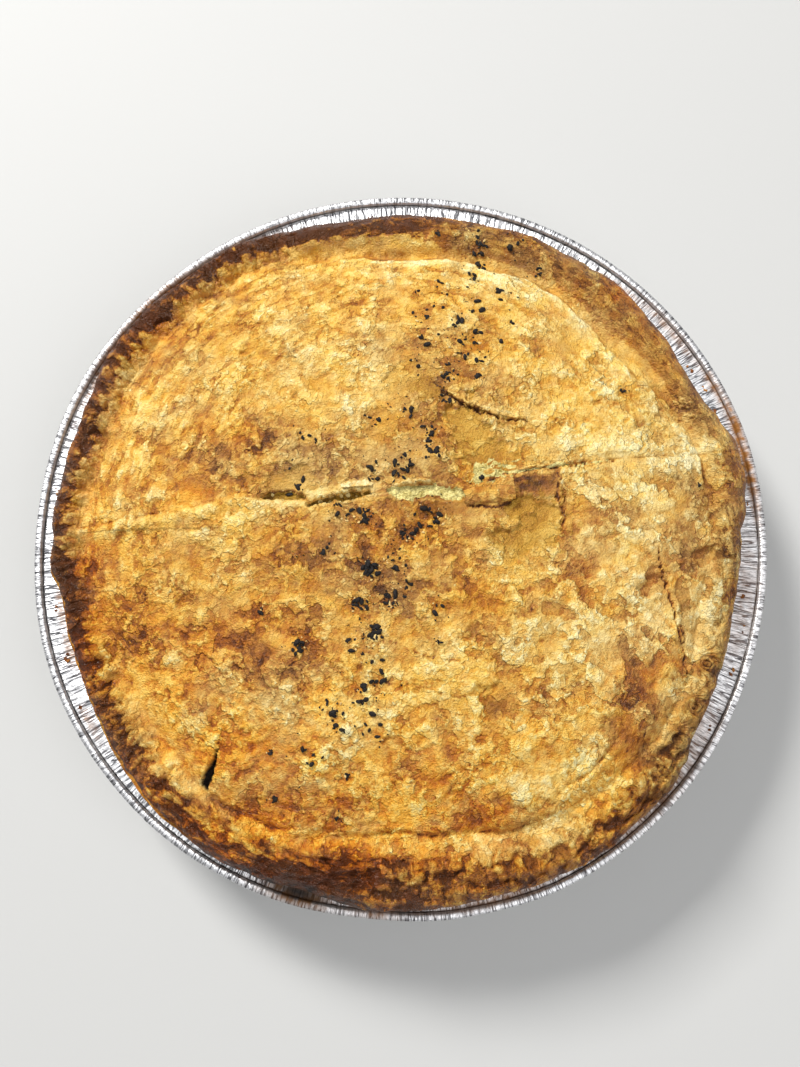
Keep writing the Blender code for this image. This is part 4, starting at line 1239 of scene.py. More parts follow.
# %% Where pepper fell
PEPPER_CLUSTERS = (
    (26, 93, 2.5, 4), (24, 98, 2, 1), (38, 94, 3, 2), (26, 87, 3, 2), (44, 86, 2, 2),
    (22, 81, 3, 2), (12, 80, 2, 1), (5, 77, 1, 1), (33, 76, 3, 2), (12, 74, 4, 1),
    (24, 70, 3, 2), (6, 68, 3, 2), (35, 65, 1, 1), (18, 64, 3, 3), (9, 60, 3, 2),
    (25, 60, 3, 2), (31, 58, 1, 1), (19, 56, 3, 2), (25, 53, 2, 1), (15, 48, 3, 4),
    (24, 47, 1, 1), (5, 51, 2, 1),
    (14, 40, 2, 2), (2, 36, 3, 2), (-9, 34, 3, 2), (8, 29, 3, 3), (-28, 27, 3, 2), (9, 23, 3, 4),
    (1, 19, 3, 4), (-8, 17, 3, 2), (0, 15, 3, 2), (-32, 14, 4, 2), (-17, 5, 3, 2), (8, 3, 4, 5),
    (-11, 3, 2.5, 4), (2, -2, 3, 4), (-22, -6, 4, 2), (-1, -10, 3, 3), (-9, -13, 2.5, 6),
    (1, -18, 3, 2), (11, -24, 2, 1), (-3, -21, 2.5, 5), (-12, -23, 2.5, 4), (-7, -31, 2.5, 5),
    (-40, -25, 1, 1), (-30, -35, 2, 4), (11, -33, 1, 1), (-13, -35, 3, 2), (-7, -42, 4, 3),
    (-13, -49, 4, 3), (-22, -51, 2, 1), (-18, -56, 3, 3), (-8, -57, 4, 2), (-26, -67, 4, 2),
    (-38, -65, 1, 1), (-15, -72, 1, 1), (-37, -79, 1, 1), (-18, -84, 1, 1), (69, 44, 1, 1),
    (12, 98, 0.5, 1), (92, 15, 0.5, 1), (24, 15, 0.5, 1),
)
draw = random.Random(31)


def spots(share, low, high, slack=1.0):
    """Places for share times each cluster's grains, each with a radius in mm: small ones are common."""
    found = []
    for middle_x, middle_y, spread, count in PEPPER_CLUSTERS:
        for _ in range(max(1, round(count * share))):
            turn = draw.uniform(0, math.tau)
            reach = slack * spread * math.sqrt(draw.random())
            size = low + (high - low) * draw.random() ** 1.6
            found.append((middle_x + reach * math.cos(turn), middle_y + reach * math.sin(turn), size))
    return found


# %% Shards, husks and crumbs
def shard_kind(number, flatness, jitter):
    """A broken grain, one unit across: a coarse ball whose corners are pushed about."""
    bpy.ops.object.select_all(action="DESELECT")
    bpy.ops.mesh.primitive_ico_sphere_add(subdivisions=2, radius=1)
    kind = bpy.context.object
    kind.name = f"shard_kind_{number}"
    for vertex in kind.data.vertices:
        side = vertex.co.copy()
        snapped = Vector((round(side.x * 1.4), round(side.y * 1.2), round(side.z * 1.1)))
        vertex.co = 0.45 * side + 0.55 * snapped.normalized() if snapped.length else side
        vertex.co *= 1 + jitter * draw.uniform(-1, 1)
        vertex.co.x *= 1.25
        vertex.co.z *= flatness
    return kind


def husk_kind(number):
    """A curved piece of black skin: part of a ball, cut off by a plane and given a thickness."""
    bpy.ops.object.select_all(action="DESELECT")
    bpy.ops.mesh.primitive_uv_sphere_add(segments=12, ring_count=8, radius=1.2)
    kind = bpy.context.object
    kind.name = f"husk_kind_{number}"
    bpy.ops.object.mode_set(mode="EDIT")
    bpy.ops.mesh.select_all(action="SELECT")
    bpy.ops.mesh.bisect(plane_co=(0, 0, 0.35), plane_no=(0.2, 0, 1), clear_inner=True)
    bpy.ops.object.mode_set(mode="OBJECT")
    for vertex in kind.data.vertices:
        vertex.co.z -= 0.7
        vertex.co.y *= 0.8
        vertex.co *= 1 + 0.12 * draw.uniform(-1, 1)
    skin = kind.modifiers.new("Skin", "SOLIDIFY")
    skin.thickness = 0.25
    activate(kind)
    bpy.ops.object.modifier_apply(modifier=skin.name)
    return kind


def copy_kind(kinds):
    """A copy of one of the kinds, with a mesh of its own."""
    kind = draw.choice(kinds)
    grain = kind.copy()
    grain.data = kind.data.copy()
    bpy.context.collection.objects.link(grain)
    return grain


def join_copies(copies, kinds, name):
    """Joins the copies into one flat-shaded piece, and removes the kinds that they came from."""
    joined = join(copies, name)
    bpy.ops.object.shade_flat()
    for kind in kinds:
        bpy.data.objects.remove(kind)
    return joined


def crust_tree():
    """The crust's triangles, arranged so that a ray finds them fast."""
    rows = []
    faces = []
    for half in lid_halves:
        offset = len(rows)
        rows.extend(vertex.co.copy() for vertex in half.data.vertices)
        faces.extend([offset + v for v in polygon.vertices] for polygon in half.data.polygons)
    return BVHTree.FromPolygons(rows, faces)


lid_tree = crust_tree()


def scatter(kinds, found, name, sink):
    """Sets a copy of one of the kinds down at each place on the crust, and joins them."""
    copies = []
    for x, y, size in found:
        spot, slope, _, _ = lid_tree.ray_cast(Vector((x * MM, y * MM, 0.1)), Vector((0, 0, -1)))
        grain = copy_kind(kinds)
        lean = slope.lerp(Vector((0, 0, 1)), 0.5).to_track_quat("Z", "Y").to_matrix().to_4x4()
        tip = Matrix.Rotation(draw.uniform(-0.5, 0.5), 4, "X")
        spin = Matrix.Rotation(draw.uniform(0, math.tau), 4, "Z")
        squeeze = Matrix.Diagonal((draw.uniform(0.8, 1.2), draw.uniform(0.6, 1.0), 1, 1))
        grain.matrix_world = (
            Matrix.Translation(spot + slope * size * MM * (0.5 - sink))
            @ lean @ spin @ tip @ squeeze @ Matrix.Scale(size * MM, 4)
        )
        copies.append(grain)
    return join_copies(copies, kinds, name)


black_kinds = [shard_kind(number, 0.45 + 0.12 * number, 0.12) for number in range(4)]
black_kinds += [husk_kind(number) for number in range(2)]
pepper_spots = spots(3.0, 0.36, 0.95) + spots(3.4, 0.12, 0.32, 2.2)
cracked_pepper = scatter(black_kinds, pepper_spots, "cracked_pepper", 0.25)
pale_kinds = [shard_kind(number + 10, 0.5, 0.2) for number in range(3)]
core_spots = spots(1.1, 0.2, 0.45, 1.3) + spots(1.4, 0.1, 0.22, 1.9)
pepper_cores = scatter(pale_kinds, core_spots, "pepper_cores", 0.2)
print("pepper", triangles(cracked_pepper), "triangles in", len(pepper_spots), "grains")

# %% [markdown]
# ## Crumbs on the flange
#
# Flakes break off as the tin is carried about, and a few lie on the foil. They are the same
# leaf-like bits as the crust, so they share its material.

# %% Crumbs
CRUMBS_EACH = 3
CRUMBS = (
    (58.5, 107.8, 1.1), (46.5, 108.2, 0.9), (34, 108.5, 1.0), (30.5, 110.5, 0.7), (26.5, 111.5, 0.5),
    (62, 110.6, 0.5), (350, 109.5, 0.5), (345, 110.8, 0.4), (338, 111.5, 0.6), (192, 111, 0.6),
    (200, 110.6, 0.7), (208, 112.2, 0.5), (172, 111.6, 0.4), (21.5, 110.5, 0.6), (75, 110.4, 0.4),
    (95, 109.8, 0.5), (108, 108.6, 0.6), (112, 109.6, 0.4), (328, 111.9, 0.5), (5, 112.2, 0.4),
)


def flange_crumbs():
    """A few crumbs of each size at each place on the flange, given in degrees and mm."""
    kinds = [shard_kind(number + 20, 0.35, 0.2) for number in range(3)]
    copies = []
    for degrees, reach, size in [row for row in CRUMBS for _ in range(CRUMBS_EACH)]:
        crumb = copy_kind(kinds)
        turn = math.radians(degrees + draw.uniform(-0.8, 0.8))
        out = reach + draw.uniform(-0.6, 0.6)
        scale = size * draw.uniform(0.4, 0.9)
        height = FLANGE_HEIGHT + FOIL + 0.25 * scale
        crumb.matrix_world = (
            Matrix.Translation(Vector((out * math.cos(turn), out * math.sin(turn), height)) * MM)
            @ Matrix.Rotation(draw.uniform(0, math.tau), 4, "Z") @ Matrix.Scale(scale * MM, 4)
        )
        copies.append(crumb)
    joined = join_copies(copies, kinds, "flange_crumbs")
    x, y, _ = places(joined).T
    set_mask(joined, "bake", np.clip(0.72 + 0.3 * noise(x / 3, y / 3, 131), 0, 1))
    set_mask(joined, "rosy", 0.8 + 0 * x)
    return joined


crumbs = flange_crumbs()
print("crumbs", triangles(crumbs), "triangles")

# %% [markdown]
# ## Materials
#
# Every finish here is uneven in the same way: a little noise in colour, in gloss and in relief,
# at a size that suits the material. That is one node group, used by each material with its own
# sizes. It works in millimetres on Object coordinates, so it stays on the piece when it moves.
# The browning is a long sum of masks and noise. A small class writes such sums as formulas, and
# each sign in them adds a Math node.

# %% Colours and a small node kit
def paint(red, green, blue, light=1.0):
    """A linear colour from the red, green and blue, 0 to 255, that the eye sees."""
    channels = []
    for value in (red, green, blue):
        share = value / 255
        linear = share / 12.92 if share <= 0.04045 else ((share + 0.055) / 1.055) ** 2.4
        channels.append(linear * light)
    return (*channels, 1)


class Amount:
    """A number that varies over a surface: sums and products of amounts become Math nodes."""

    def __init__(self, socket):
        self.socket = socket

    def combine(self, operation, first, second=0.0):
        """What a Math node makes of two values."""
        node = add_node(self.socket.id_data, "ShaderNodeMath", operation=operation)
        feed(node.inputs[0], first)
        feed(node.inputs[1], second)
        return Amount(node.outputs[0])

    def __add__(self, other):
        return self.combine("ADD", self, other)

    def __sub__(self, other):
        return self.combine("SUBTRACT", self, other)

    def __rsub__(self, other):
        return self.combine("SUBTRACT", other, self)

    def __mul__(self, other):
        return self.combine("MULTIPLY", self, other)

    def __truediv__(self, other):
        return self.combine("DIVIDE", self, other)

    def __rtruediv__(self, other):
        return self.combine("DIVIDE", other, self)

    def __abs__(self):
        return self.combine("ABSOLUTE", self)

    __radd__ = __add__
    __rmul__ = __mul__


def feed(socket, value):
    """Links a socket to an amount or to another socket, or sets it to a plain value."""
    source = value.socket if isinstance(value, Amount) else value
    if isinstance(source, bpy.types.NodeSocket):
        socket.id_data.links.new(source, socket)
    else:
        socket.default_value = source


def add_node(tree, kind, **values):
    """A node of a kind, with its settings and what feeds its inputs given by name."""
    node = tree.nodes.new(kind)
    for name, value in values.items():
        if hasattr(node, name):
            setattr(node, name, value)
        else:
            feed(node.inputs[name.replace("_", " ")], value)
    return node


def vector_node(tree, operation, *inputs, **values):
    """A Vector Math node, whose inputs are fed in their order."""
    node = add_node(tree, "ShaderNodeVectorMath", operation=operation, **values)
    for socket, value in zip(node.inputs, inputs):
        feed(socket, value)
    return node.outputs[0]


def mix_colour(share, first, second):
    """The first colour where the share is 0, the second where it is 1."""
    node = add_node(share.socket.id_data, "ShaderNodeMix", data_type="RGBA")
    for number, value in ((0, share), (6, first), (7, second)):
        feed(node.inputs[number], value)
    return node.outputs[2]


def least(first, second):
    """The smaller of an amount and a value."""
    return first.combine("MINIMUM", first, second)


def most(first, second):
    """The larger of an amount and a value."""
    return first.combine("MAXIMUM", first, second)


def eased(value, low, high):
    """0 on the low side and 1 on the high side of a soft step between two values."""
    node = add_node(
        value.socket.id_data, "ShaderNodeMapRange", interpolation_type="SMOOTHSTEP",
        Value=value, From_Min=low, From_Max=high,
    )
    return Amount(node.outputs[0])


def mask(tree, name):
    """The numbers that set_mask stored on the mesh."""
    return Amount(add_node(tree, "ShaderNodeAttribute", attribute_name=name).outputs["Fac"])


def in_mm(tree, scale=(1000, 1000, 1000)):
    """The place on the piece in mm."""
    return vector_node(tree, "MULTIPLY", add_node(tree, "ShaderNodeTexCoord").outputs["Object"], scale)


def clouds(tree, place, scale, detail, roughness, distortion=0.0):
    """Noise from 0 to 1 as an amount, and as a colour."""
    node = add_node(
        tree, "ShaderNodeTexNoise", Vector=place, Scale=scale, Detail=detail, Roughness=roughness,
        Distortion=distortion,
    )
    return Amount(node.outputs["Fac"]), node.outputs["Color"]


def start_group(name, **inputs):
    """A new node group, and its number inputs as amounts."""
    group = bpy.data.node_groups.new(name, "ShaderNodeTree")
    for title, value in inputs.items():
        socket = group.interface.new_socket(
            name=title.replace("_", " "), in_out="INPUT", socket_type="NodeSocketFloat"
        )
        socket.default_value = value
    inside = group.nodes.new("NodeGroupInput")
    return group, *(Amount(inside.outputs[number]) for number in range(len(inputs)))


def end_group(group, **results):
    """Gives the group its outputs, by name."""
    for name in results:
        group.interface.new_socket(
            name=name.replace("_", " "), in_out="OUTPUT", socket_type="NodeSocketFloat"
        )
    outside = group.nodes.new("NodeGroupOutput")
    for name, amount in results.items():
        feed(outside.inputs[name.replace("_", " ")], amount)
    return group


def use_group(tree, group, **values):
    """Places a node group with its own values, and returns its outputs as amounts, by name."""
    node = add_node(tree, "ShaderNodeGroup", node_tree=group, **values)
    return {socket.name: Amount(socket) for socket in node.outputs}


def new_finish(name, colour, roughness, metallic=0.0, specular=0.5):
    """A material whose plain settings are near its real ones, and its shader and node tree."""
    material = bpy.data.materials.new(name)
    material.use_nodes = True
    shader = material.node_tree.nodes["Principled BSDF"]
    shader.inputs["Base Color"].default_value = colour
    shader.inputs["Roughness"].default_value = roughness
    shader.inputs["Metallic"].default_value = metallic
    shader.inputs["Specular IOR Level"].default_value = specular
    return material, material.node_tree, shader


def add_bump(shader, height, distance):
    """Relief, whose height of 1 stands for a distance in mm."""
    bump = add_node(shader.id_data, "ShaderNodeBump", Strength=1.0, Distance=distance * MM, Height=height)
    feed(shader.inputs["Normal"], bump.outputs["Normal"])


# %% The unevenness that all finishes share
def make_uneven_group():
    """Two sizes of noise in mm: Broad and Fine amounts around zero, and their sum as Relief."""
    group, broad_size, fine_size = start_group("uneven_surface", Broad_Size=3.0, Fine_Size=0.6)
    place = in_mm(group)
    broad = clouds(group, place, 1.0 / broad_size, 4.0, 0.6)[0] - 0.5
    fine = clouds(group, place, 1.0 / fine_size, 3.0, 0.6)[0] - 0.5
    return end_group(group, Broad=broad, Fine=fine, Relief=broad + fine)


UNEVEN = make_uneven_group()


def uneven(tree, broad_size, fine_size):
    """The broad and the fine unevenness of two sizes in mm, and both together as relief."""
    results = use_group(tree, UNEVEN, Broad_Size=broad_size, Fine_Size=fine_size)
    return results["Broad"], results["Fine"], results["Relief"]


# %% Small parts of the flaky surface
def pulled(tree, place, pull, reach):
    """The place moved along a noise vector, up to about a quarter of the reach in mm."""
    return vector_node(tree, "MULTIPLY_ADD", pull, (reach, reach, reach), place)


def flake_layer(tree, place, size, level):
    """Masks of torn flakes of one size, the lip along their edge where a highlight is painted, the line past
    it where a shadow is painted, and their rise.
    """
    margin = clouds(tree, place, 1 / size, 2.5, 0.5)[0] - level
    flake = eased(margin, -0.010, 0.012)
    lip = flake - eased(margin, 0.012, 0.04)
    line = eased(margin, -0.035, -0.01) - flake
    return flake, lip, line, 0.16 * flake + 0.84 * eased(margin, -0.035, 0.035)


def fleck_layer(tree, place, size):
    """Masks of round flecks of one size and of the rim round each; some are fainter than others."""
    flecks = add_node(
        tree, "ShaderNodeTexVoronoi", voronoi_dimensions="2D", Vector=place, Scale=1 / size
    )
    drawn = add_node(tree, "ShaderNodeSeparateColor", Color=flecks.outputs["Color"])
    margin = 0.06 + 0.42 * Amount(drawn.outputs[0]) - Amount(flecks.outputs["Distance"])
    fleck = eased(margin, -0.03, 0.04)
    rim = eased(margin, -0.15, -0.06) - fleck
    weight = eased(Amount(drawn.outputs[1]), 0.3, 0.9)
    return fleck * weight, rim * weight


# %% The flaky surface
def make_flaky_group():
    """Puff pastry close up: three sizes of torn flakes, pale discs over blisters, flecks and specks."""
    (group,) = start_group("flaky_surface")
    place = in_mm(group, (1000, 1000, 800))
    _, torn = clouds(group, place, 0.42, 3.0, 0.55)
    pull = vector_node(group, "SUBTRACT", torn, (0.5, 0.5, 0.5))
    far, some, little = (pulled(group, place, pull, reach) for reach in (2.8, 1.6, 0.8))
    large, large_highlight, large_shadow, large_rise = flake_layer(group, far, 8.0, 0.5)
    middle, middle_highlight, middle_shadow, middle_rise = flake_layer(group, some, 3.8, 0.525)
    small, _, _, small_rise = flake_layer(group, little, 1.8, 0.55)
    disc, disc_rim = fleck_layer(group, some, 3.8)
    fleck, fleck_rim = fleck_layer(group, little, 1.7)
    speck, _ = fleck_layer(group, little, 0.9)
    # Each flake's lip is painted paler as a highlight, and the line past its edge darker as a shadow.
    tone = 0.13 - 0.06 * (large + large_highlight) - 0.16 * middle - 0.04 * middle_highlight - 0.1 * small
    # The pale flecks and specks are partly the pastry's own pale spots and partly painted glints of its
    # buttery sheen.
    return end_group(
        group, Flake_Tone=tone + 0.03 * (large_shadow + middle_shadow), Plate=large,
        Flake_Relief=0.9 * large_rise + 0.8 * middle_rise + 0.35 * small_rise,
        Fleck_Tone=0.05 * fleck_rim - 0.15 * fleck - 0.16 * speck, Fleck_Relief=fleck,
        Disc=disc, Disc_Rim=disc_rim,
    )


FLAKY = make_flaky_group()

# %% Baked puff pastry
LIGHT = 0.97
GOLDEN = (
    (0.00, (255, 240, 173)), (0.12, (252, 224, 138)), (0.24, (246, 204, 104)), (0.36, (232, 180, 74)),
    (0.48, (212, 150, 48)), (0.60, (184, 116, 30)), (0.74, (140, 78, 18)), (0.87, (76, 38, 12)),
    (1.00, (26, 14, 8)),
)
ROSY = (
    (0.00, (254, 238, 182)), (0.14, (248, 216, 143)), (0.30, (234, 188, 108)), (0.44, (214, 156, 78)),
    (0.58, (184, 120, 54)), (0.72, (142, 84, 37)), (0.86, (84, 46, 26)), (1.00, (28, 15, 10)),
)
TAN = (
    (0.00, (252, 238, 184)), (0.14, (240, 214, 147)), (0.28, (222, 186, 112)), (0.42, (200, 158, 86)),
    (0.56, (172, 126, 65)), (0.70, (132, 90, 45)), (0.86, (80, 50, 30)), (1.00, (27, 16, 11)),
)
OCHRE = (
    (0.00, (252, 234, 160)), (0.16, (236, 204, 112)), (0.32, (214, 172, 78)), (0.46, (194, 146, 52)),
    (0.60, (164, 114, 32)), (0.74, (120, 76, 18)), (0.88, (66, 38, 12)), (1.00, (26, 15, 9)),
)
ORANGE = (
    (0.00, (255, 232, 149)), (0.16, (250, 208, 100)), (0.32, (238, 174, 58)), (0.46, (216, 138, 30)),
    (0.60, (182, 98, 16)), (0.74, (130, 62, 10)), (0.88, (66, 30, 8)), (1.00, (24, 12, 8)),
)


def colour_scale(tone, colours):
    """Turns the browning number into colour, through a list of places and colours."""
    node = tone.socket.id_data.nodes.new("ShaderNodeValToRGB")
    stops = node.color_ramp.elements
    while len(stops) < len(colours):
        stops.new(0.5)
    for stop, (place, colour) in zip(stops, colours):
        stop.position = place
        stop.color = paint(*colour, LIGHT)
    feed(node.inputs[0], tone)
    return node.outputs["Color"]


def wrinkles(tree, torn):
    """What follows the dough's own flow: folds of the border, and long flakes with a band past their edges
    where a shadow is painted.
    """
    flow = add_node(tree, "ShaderNodeAttribute", attribute_name="flow").outputs["Vector"]
    strength = add_node(tree, "ShaderNodeSeparateXYZ", Vector=flow).outputs[2]
    plan = vector_node(tree, "MULTIPLY", flow, (1, 1, 0))
    folds, pull = clouds(tree, plan, 1.0, 1.5, 0.5, 0.4)
    wave = 0.29 + 0.4 * folds + 0.5 * torn
    for scale, reach, weight in ((0.8, 1.4, 0.7), (2.1, 0.9, 0.35)):
        lumps = add_node(
            tree, "ShaderNodeTexVoronoi", voronoi_dimensions="2D", Scale=scale,
            Vector=pulled(tree, plan, pull, reach),
        )
        wave = wave - weight * Amount(lumps.outputs["Distance"])
    flake = eased(wave, -0.015, 0.015)
    return wave, flake, eased(wave, -0.05, -0.02) - flake, Amount(strength)


def make_pastry():
    """Browned dough: its tone is summed up from the masks and the flakes, then turned into colour. The sum
    holds painted light too: paler fold crests and flake lips, darker creases, crevices and flake edges.
    """
    material, tree, shader = new_finish("baked_pastry", paint(226, 176, 88), 0.65, specular=0.32)
    mottle, grain, _ = uneven(tree, 2.6, 0.6)
    drift, patchy, _ = uneven(tree, 13.0, 3.2)
    flaky = use_group(tree, FLAKY)
    wave, long_flake, long_edge, folded = wrinkles(tree, 0.6 * (grain + mottle))
    stretched = mask(tree, "stretched")
    scaly = mask(tree, "scaly")
    sheeted = mask(tree, "plated")
    fold = wave * folded
    crease = long_edge * folded
    torn_fold = (0.5 - long_flake) * folded
    gritty = grain * folded
    disc_share = scaly * eased(drift, -0.02, 0.1)
    disc = flaky["Disc"] * disc_share
    torn_edge = mask(tree, "bare") + 0.9 * mottle + 0.4 * grain
    patch = most(eased(torn_edge, 0.46, 0.56) - 0.8 * disc, 0.0)
    flaked = scaly * (1.0 - 0.45 * patch)
    round_share = flaked * (1.1 - 0.45 * stretched - 0.3 * sheeted)
    long_share = flaked * stretched
    fleck_share = flaked * eased(patchy, -0.06, 0.1)
    cloudy = (0.11 * mottle + 0.13 * grain) * (0.6 + 0.4 * flaked)
    under = sheeted * scaly * (0.5 - flaky["Plate"])
    # groove: painted shade in the border's crevices.
    groove = eased(mask(tree, "groove") + 0.9 * mottle + 0.5 * grain, 0.38, 0.66)
    # The brown rim is kept off the fold crests, which leaves them paler: a painted highlight.
    rim_edge = mask(tree, "rim") + 1.2 * mottle + 0.5 * grain - 1.1 * fold
    rim = eased(rim_edge, 0.36, 0.6) * mask(tree, "rim_tone")

    tone = mask(tree, "bake") + cloudy + rim + flaky["Flake Tone"] * round_share
    # long_edge is the band past each long flake, painted darker as its shadow.
    tone = tone + (0.09 - 0.17 * long_flake + 0.04 * long_edge) * long_share
    tone = tone + flaky["Fleck Tone"] * fleck_share - 0.12 * disc + 0.1 * flaky["Disc Rim"] * disc_share
    tone = tone + patch * mask(tree, "bare_tone") + 0.2 * under + 0.12 * groove + 0.14 * gritty
    # Fold crests painted paler as a highlight, and the creases between folds darker as shade.
    tone = least(tone - 0.3 * fold + 0.12 * crease + 0.1 * torn_fold, 0.84)

    golden, rosy, tan, orange, ochre = (
        colour_scale(tone, colours) for colours in (GOLDEN, ROSY, TAN, ORANGE, OCHRE)
    )
    colour = mix_colour(mask(tree, "rosy") + 1.6 * patchy + 1.2 * mottle, golden, rosy)
    colour = mix_colour(mask(tree, "warm"), colour, orange)
    colour = mix_colour(mask(tree, "dusty") + 1.6 * drift - 1.2 * mottle, colour, tan)
    ochre_place = most(patch, eased(patchy, 0.02, 0.12))
    colour = mix_colour(0.8 * mask(tree, "ochre") * ochre_place, colour, ochre)
    depth = 0.45 + 2.6 * mottle + 1.6 * grain
    strip = mix_colour(depth, paint(248, 234, 156), paint(166, 142, 58))
    colour = mix_colour(eased(mask(tree, "strip") + 0.8 * grain, 0.4, 0.6), colour, strip)
    trench = mix_colour(depth, paint(178, 136, 44), paint(92, 58, 12))
    trench = mix_colour(flaky["Fleck Relief"], trench, paint(244, 220, 150))
    trench_edge = mask(tree, "raw") + 0.7 * mottle + 0.6 * grain
    colour = mix_colour(eased(trench_edge, 0.5, 0.62), colour, trench)
    colour = mix_colour(mask(tree, "burnt_and_slit_black"), colour, paint(16, 10, 7))
    feed(shader.inputs["Base Color"], colour)
    feed(shader.inputs["Roughness"], 0.56 - 0.25 * tone + 0.3 * grain)

    relief = 1.3 * grain + (2.4 * mottle + flaky["Flake Relief"]) * round_share + 0.7 * disc
    relief = relief + 0.55 * long_flake * long_share - 0.6 * under
    relief = relief + 0.4 * flaky["Fleck Relief"] * fleck_share - 0.7 * groove + 1.2 * gritty
    add_bump(shader, relief + 2.6 * fold - 0.8 * (crease + torn_fold), 0.8)
    return material


baked_pastry = make_pastry()
print("pastry", len(baked_pastry.node_tree.nodes), "nodes")

# %% Pressed foil
def make_crease_group():
    """Creases that run out from the tin's middle, finer than its mesh: Lines, where painted shade goes, and
    their Relief.
    """
    group, number, width, length = start_group("radial_creases", Number=60.0, Width=0.03, Length=12.0)
    level = in_mm(group, (1000, 1000, 0))
    wheel = vector_node(group, "SCALE", vector_node(group, "NORMALIZE", level), Scale=number)
    reach = add_node(group, "ShaderNodeVectorMath", operation="LENGTH", Vector=level).outputs["Value"]
    out = add_node(group, "ShaderNodeCombineXYZ", Z=Amount(reach) / length).outputs[0]
    folds = clouds(group, vector_node(group, "ADD", wheel, out), 1.0, 2.0, 0.6, 0.4)[0] - 0.5
    return end_group(group, Line=eased(abs(folds) / width, 1.0, 0.2), Relief=folds)


CREASES = make_crease_group()


def make_foil():
    """Bright creased metal with painted shade along its creases, a painted shadow in the gap under its bead,
    a near-black patch and baked-on stains that are no longer metal.
    """
    bright, dull = (0.9, 0.9, 0.91, 1), (0.78, 0.785, 0.8, 1)
    material, tree, shader = new_finish("pressed_aluminium", bright, 0.3, 1.0)
    broad, fine, relief = uneven(tree, 6.0, 0.8)
    pleats = use_group(tree, CREASES, Number=70.0, Width=0.055, Length=16.0)
    hairs = use_group(tree, CREASES, Number=130.0, Width=0.05, Length=5.0)
    creased = mask(tree, "creased")
    stain = mask(tree, "stain")
    colour = mix_colour(broad + 0.25, bright, dull)
    # Painted shade: the colour is darkened along each crease.
    dark = (0.9 * pleats["Line"] + 0.45 * hairs["Line"]) * creased
    colour = mix_colour(dark, colour, (0.1, 0.1, 0.11, 1))
    # A painted shadow: a near-black line in the gap under the bead.
    gap = mask(tree, "bead_gap_shadow") * (0.85 + 1.2 * broad)
    colour = mix_colour(gap, colour, (0.02, 0.017, 0.014, 1))
    colour = mix_colour(stain, colour, paint(142, 92, 34))
    # A near-black patch on the flange at 254°, below where the crust draws back.
    colour = mix_colour(mask(tree, "black_flange_patch"), colour, paint(26, 18, 14))
    feed(shader.inputs["Base Color"], colour)
    feed(shader.inputs["Metallic"], 1.0 - 0.8 * stain)
    feed(shader.inputs["Roughness"], 0.44 + 0.25 * fine + 0.25 * stain)
    add_bump(shader, relief + (9.0 * pleats["Relief"] + 4.0 * hairs["Relief"]) * creased, 0.1)
    return material


pressed_aluminium = make_foil()
print("foil", len(pressed_aluminium.node_tree.nodes), "nodes")

# %% Pepper and its pale cores
def make_grain(name, plain, colours, sizes, start, roughness, specular, depth):
    """A dry grain, whose colour goes from one to another with the unevenness of its skin."""
    material, tree, shader = new_finish(name, plain, roughness, specular=specular)
    _, fine, relief = uneven(tree, *sizes)
    feed(shader.inputs["Base Color"], mix_colour(relief + start, *colours))
    feed(shader.inputs["Roughness"], fine + roughness)
    add_bump(shader, relief, depth)
    return material


HUSK_COLOURS = ((0.004, 0.004, 0.005, 1), (0.022, 0.015, 0.01, 1))
CORE_COLOURS = (paint(246, 222, 150), paint(170, 120, 50))
black_husk = make_grain(
    "black_husk", (0.008, 0.007, 0.008, 1), HUSK_COLOURS, (0.9, 0.25), 0.35, 0.6, 0.25, 0.2
)
pepper_core = make_grain(
    "pepper_core", paint(234, 204, 134), CORE_COLOURS, (1.4, 0.3), 0.5, 0.7, 0.5, 0.15
)

# %% [markdown]
# ## Put the pieces in the frame
#
# Each piece gets its material and rides with the part's only body, and the imported solid that it
# replaces is hidden.

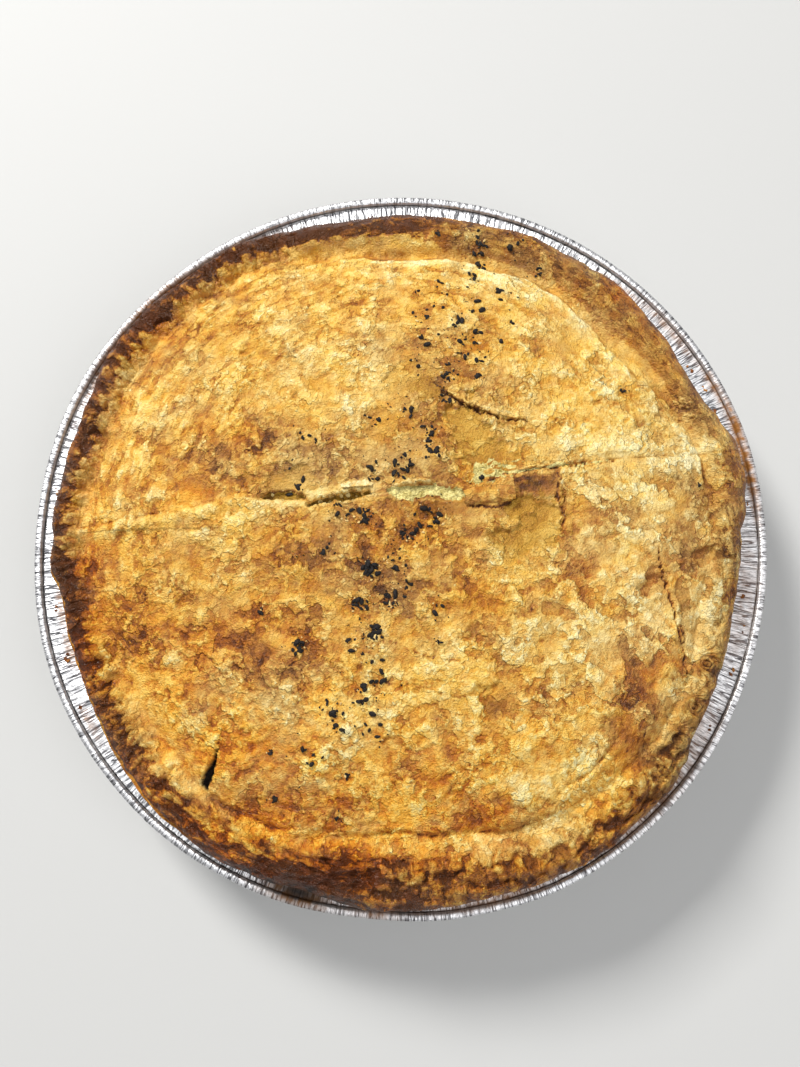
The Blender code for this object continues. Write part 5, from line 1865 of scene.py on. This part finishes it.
# %% Dress
def dress(piece, material, node):
    """Gives a piece its material and its body, and hides the imported solid that it replaces."""
    piece.data.materials.clear()
    piece.data.materials.append(material)
    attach(piece, "root")
    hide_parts(node)


for half in lid_halves:
    dress(half, baked_pastry, "pie")
dress(loose_flakes, baked_pastry, "pie")
dress(crumbs, baked_pastry, "pie")
dress(cracked_pepper, black_husk, "pie")
dress(pepper_cores, pepper_core, "pie")
dress(pressed_foil, pressed_aluminium, "foil_tin")

# %% [markdown]
# ## Floor and light
#
# A plain pale floor, and three soft panels: the key over the pie's far left, a large one above,
# and a weak one at the near right. Foil looks like foil only when it has something bright and
# something dark to mirror, so the panels are bright and the surroundings dimmer.

# %% Floor
FLOOR_SIZE = 3.0

bpy.ops.object.select_all(action="DESELECT")
bpy.ops.mesh.primitive_plane_add(size=FLOOR_SIZE)
floor = bpy.context.object
floor.name = "floor"
floor.data.materials.append(new_finish("floor_paint", (0.5, 0.5, 0.49, 1), 0.8)[0])

# %% Lights
PANELS = (
    ("key_panel", (-0.75, 1.0, 1.05), 0.4, 35.5, (1, 0.99, 0.97)),
    ("ceiling_panel", (0.45, -0.4, 1.15), 1.4, 9.5, (0.99, 0.99, 1)),
    ("side_panel", (1.1, -0.75, 0.5), 0.7, 2.0, (1, 0.99, 0.98)),
)

for name, place, size, watts, colour in PANELS:
    bpy.ops.object.light_add(type="AREA", location=place)
    panel = bpy.context.object
    panel.name = name
    panel.data.size = size
    panel.data.energy = watts
    panel.data.color = colour
    aim = Vector((0, 0, PIE_HIGH.z)) - Vector(place)
    panel.rotation_euler = aim.to_track_quat("-Z", "Y").to_euler()

surroundings = bpy.data.worlds.new("surroundings")
surroundings.use_nodes = True
sky = surroundings.node_tree.nodes["Background"]
sky.inputs["Color"].default_value = (0.97, 0.98, 1, 1)
sky.inputs["Strength"].default_value = 0.33
bpy.context.scene.world = surroundings
bpy.context.scene.view_settings.view_transform = "Standard"
print(len(PANELS), "panels over a floor", FLOOR_SIZE, "m across")
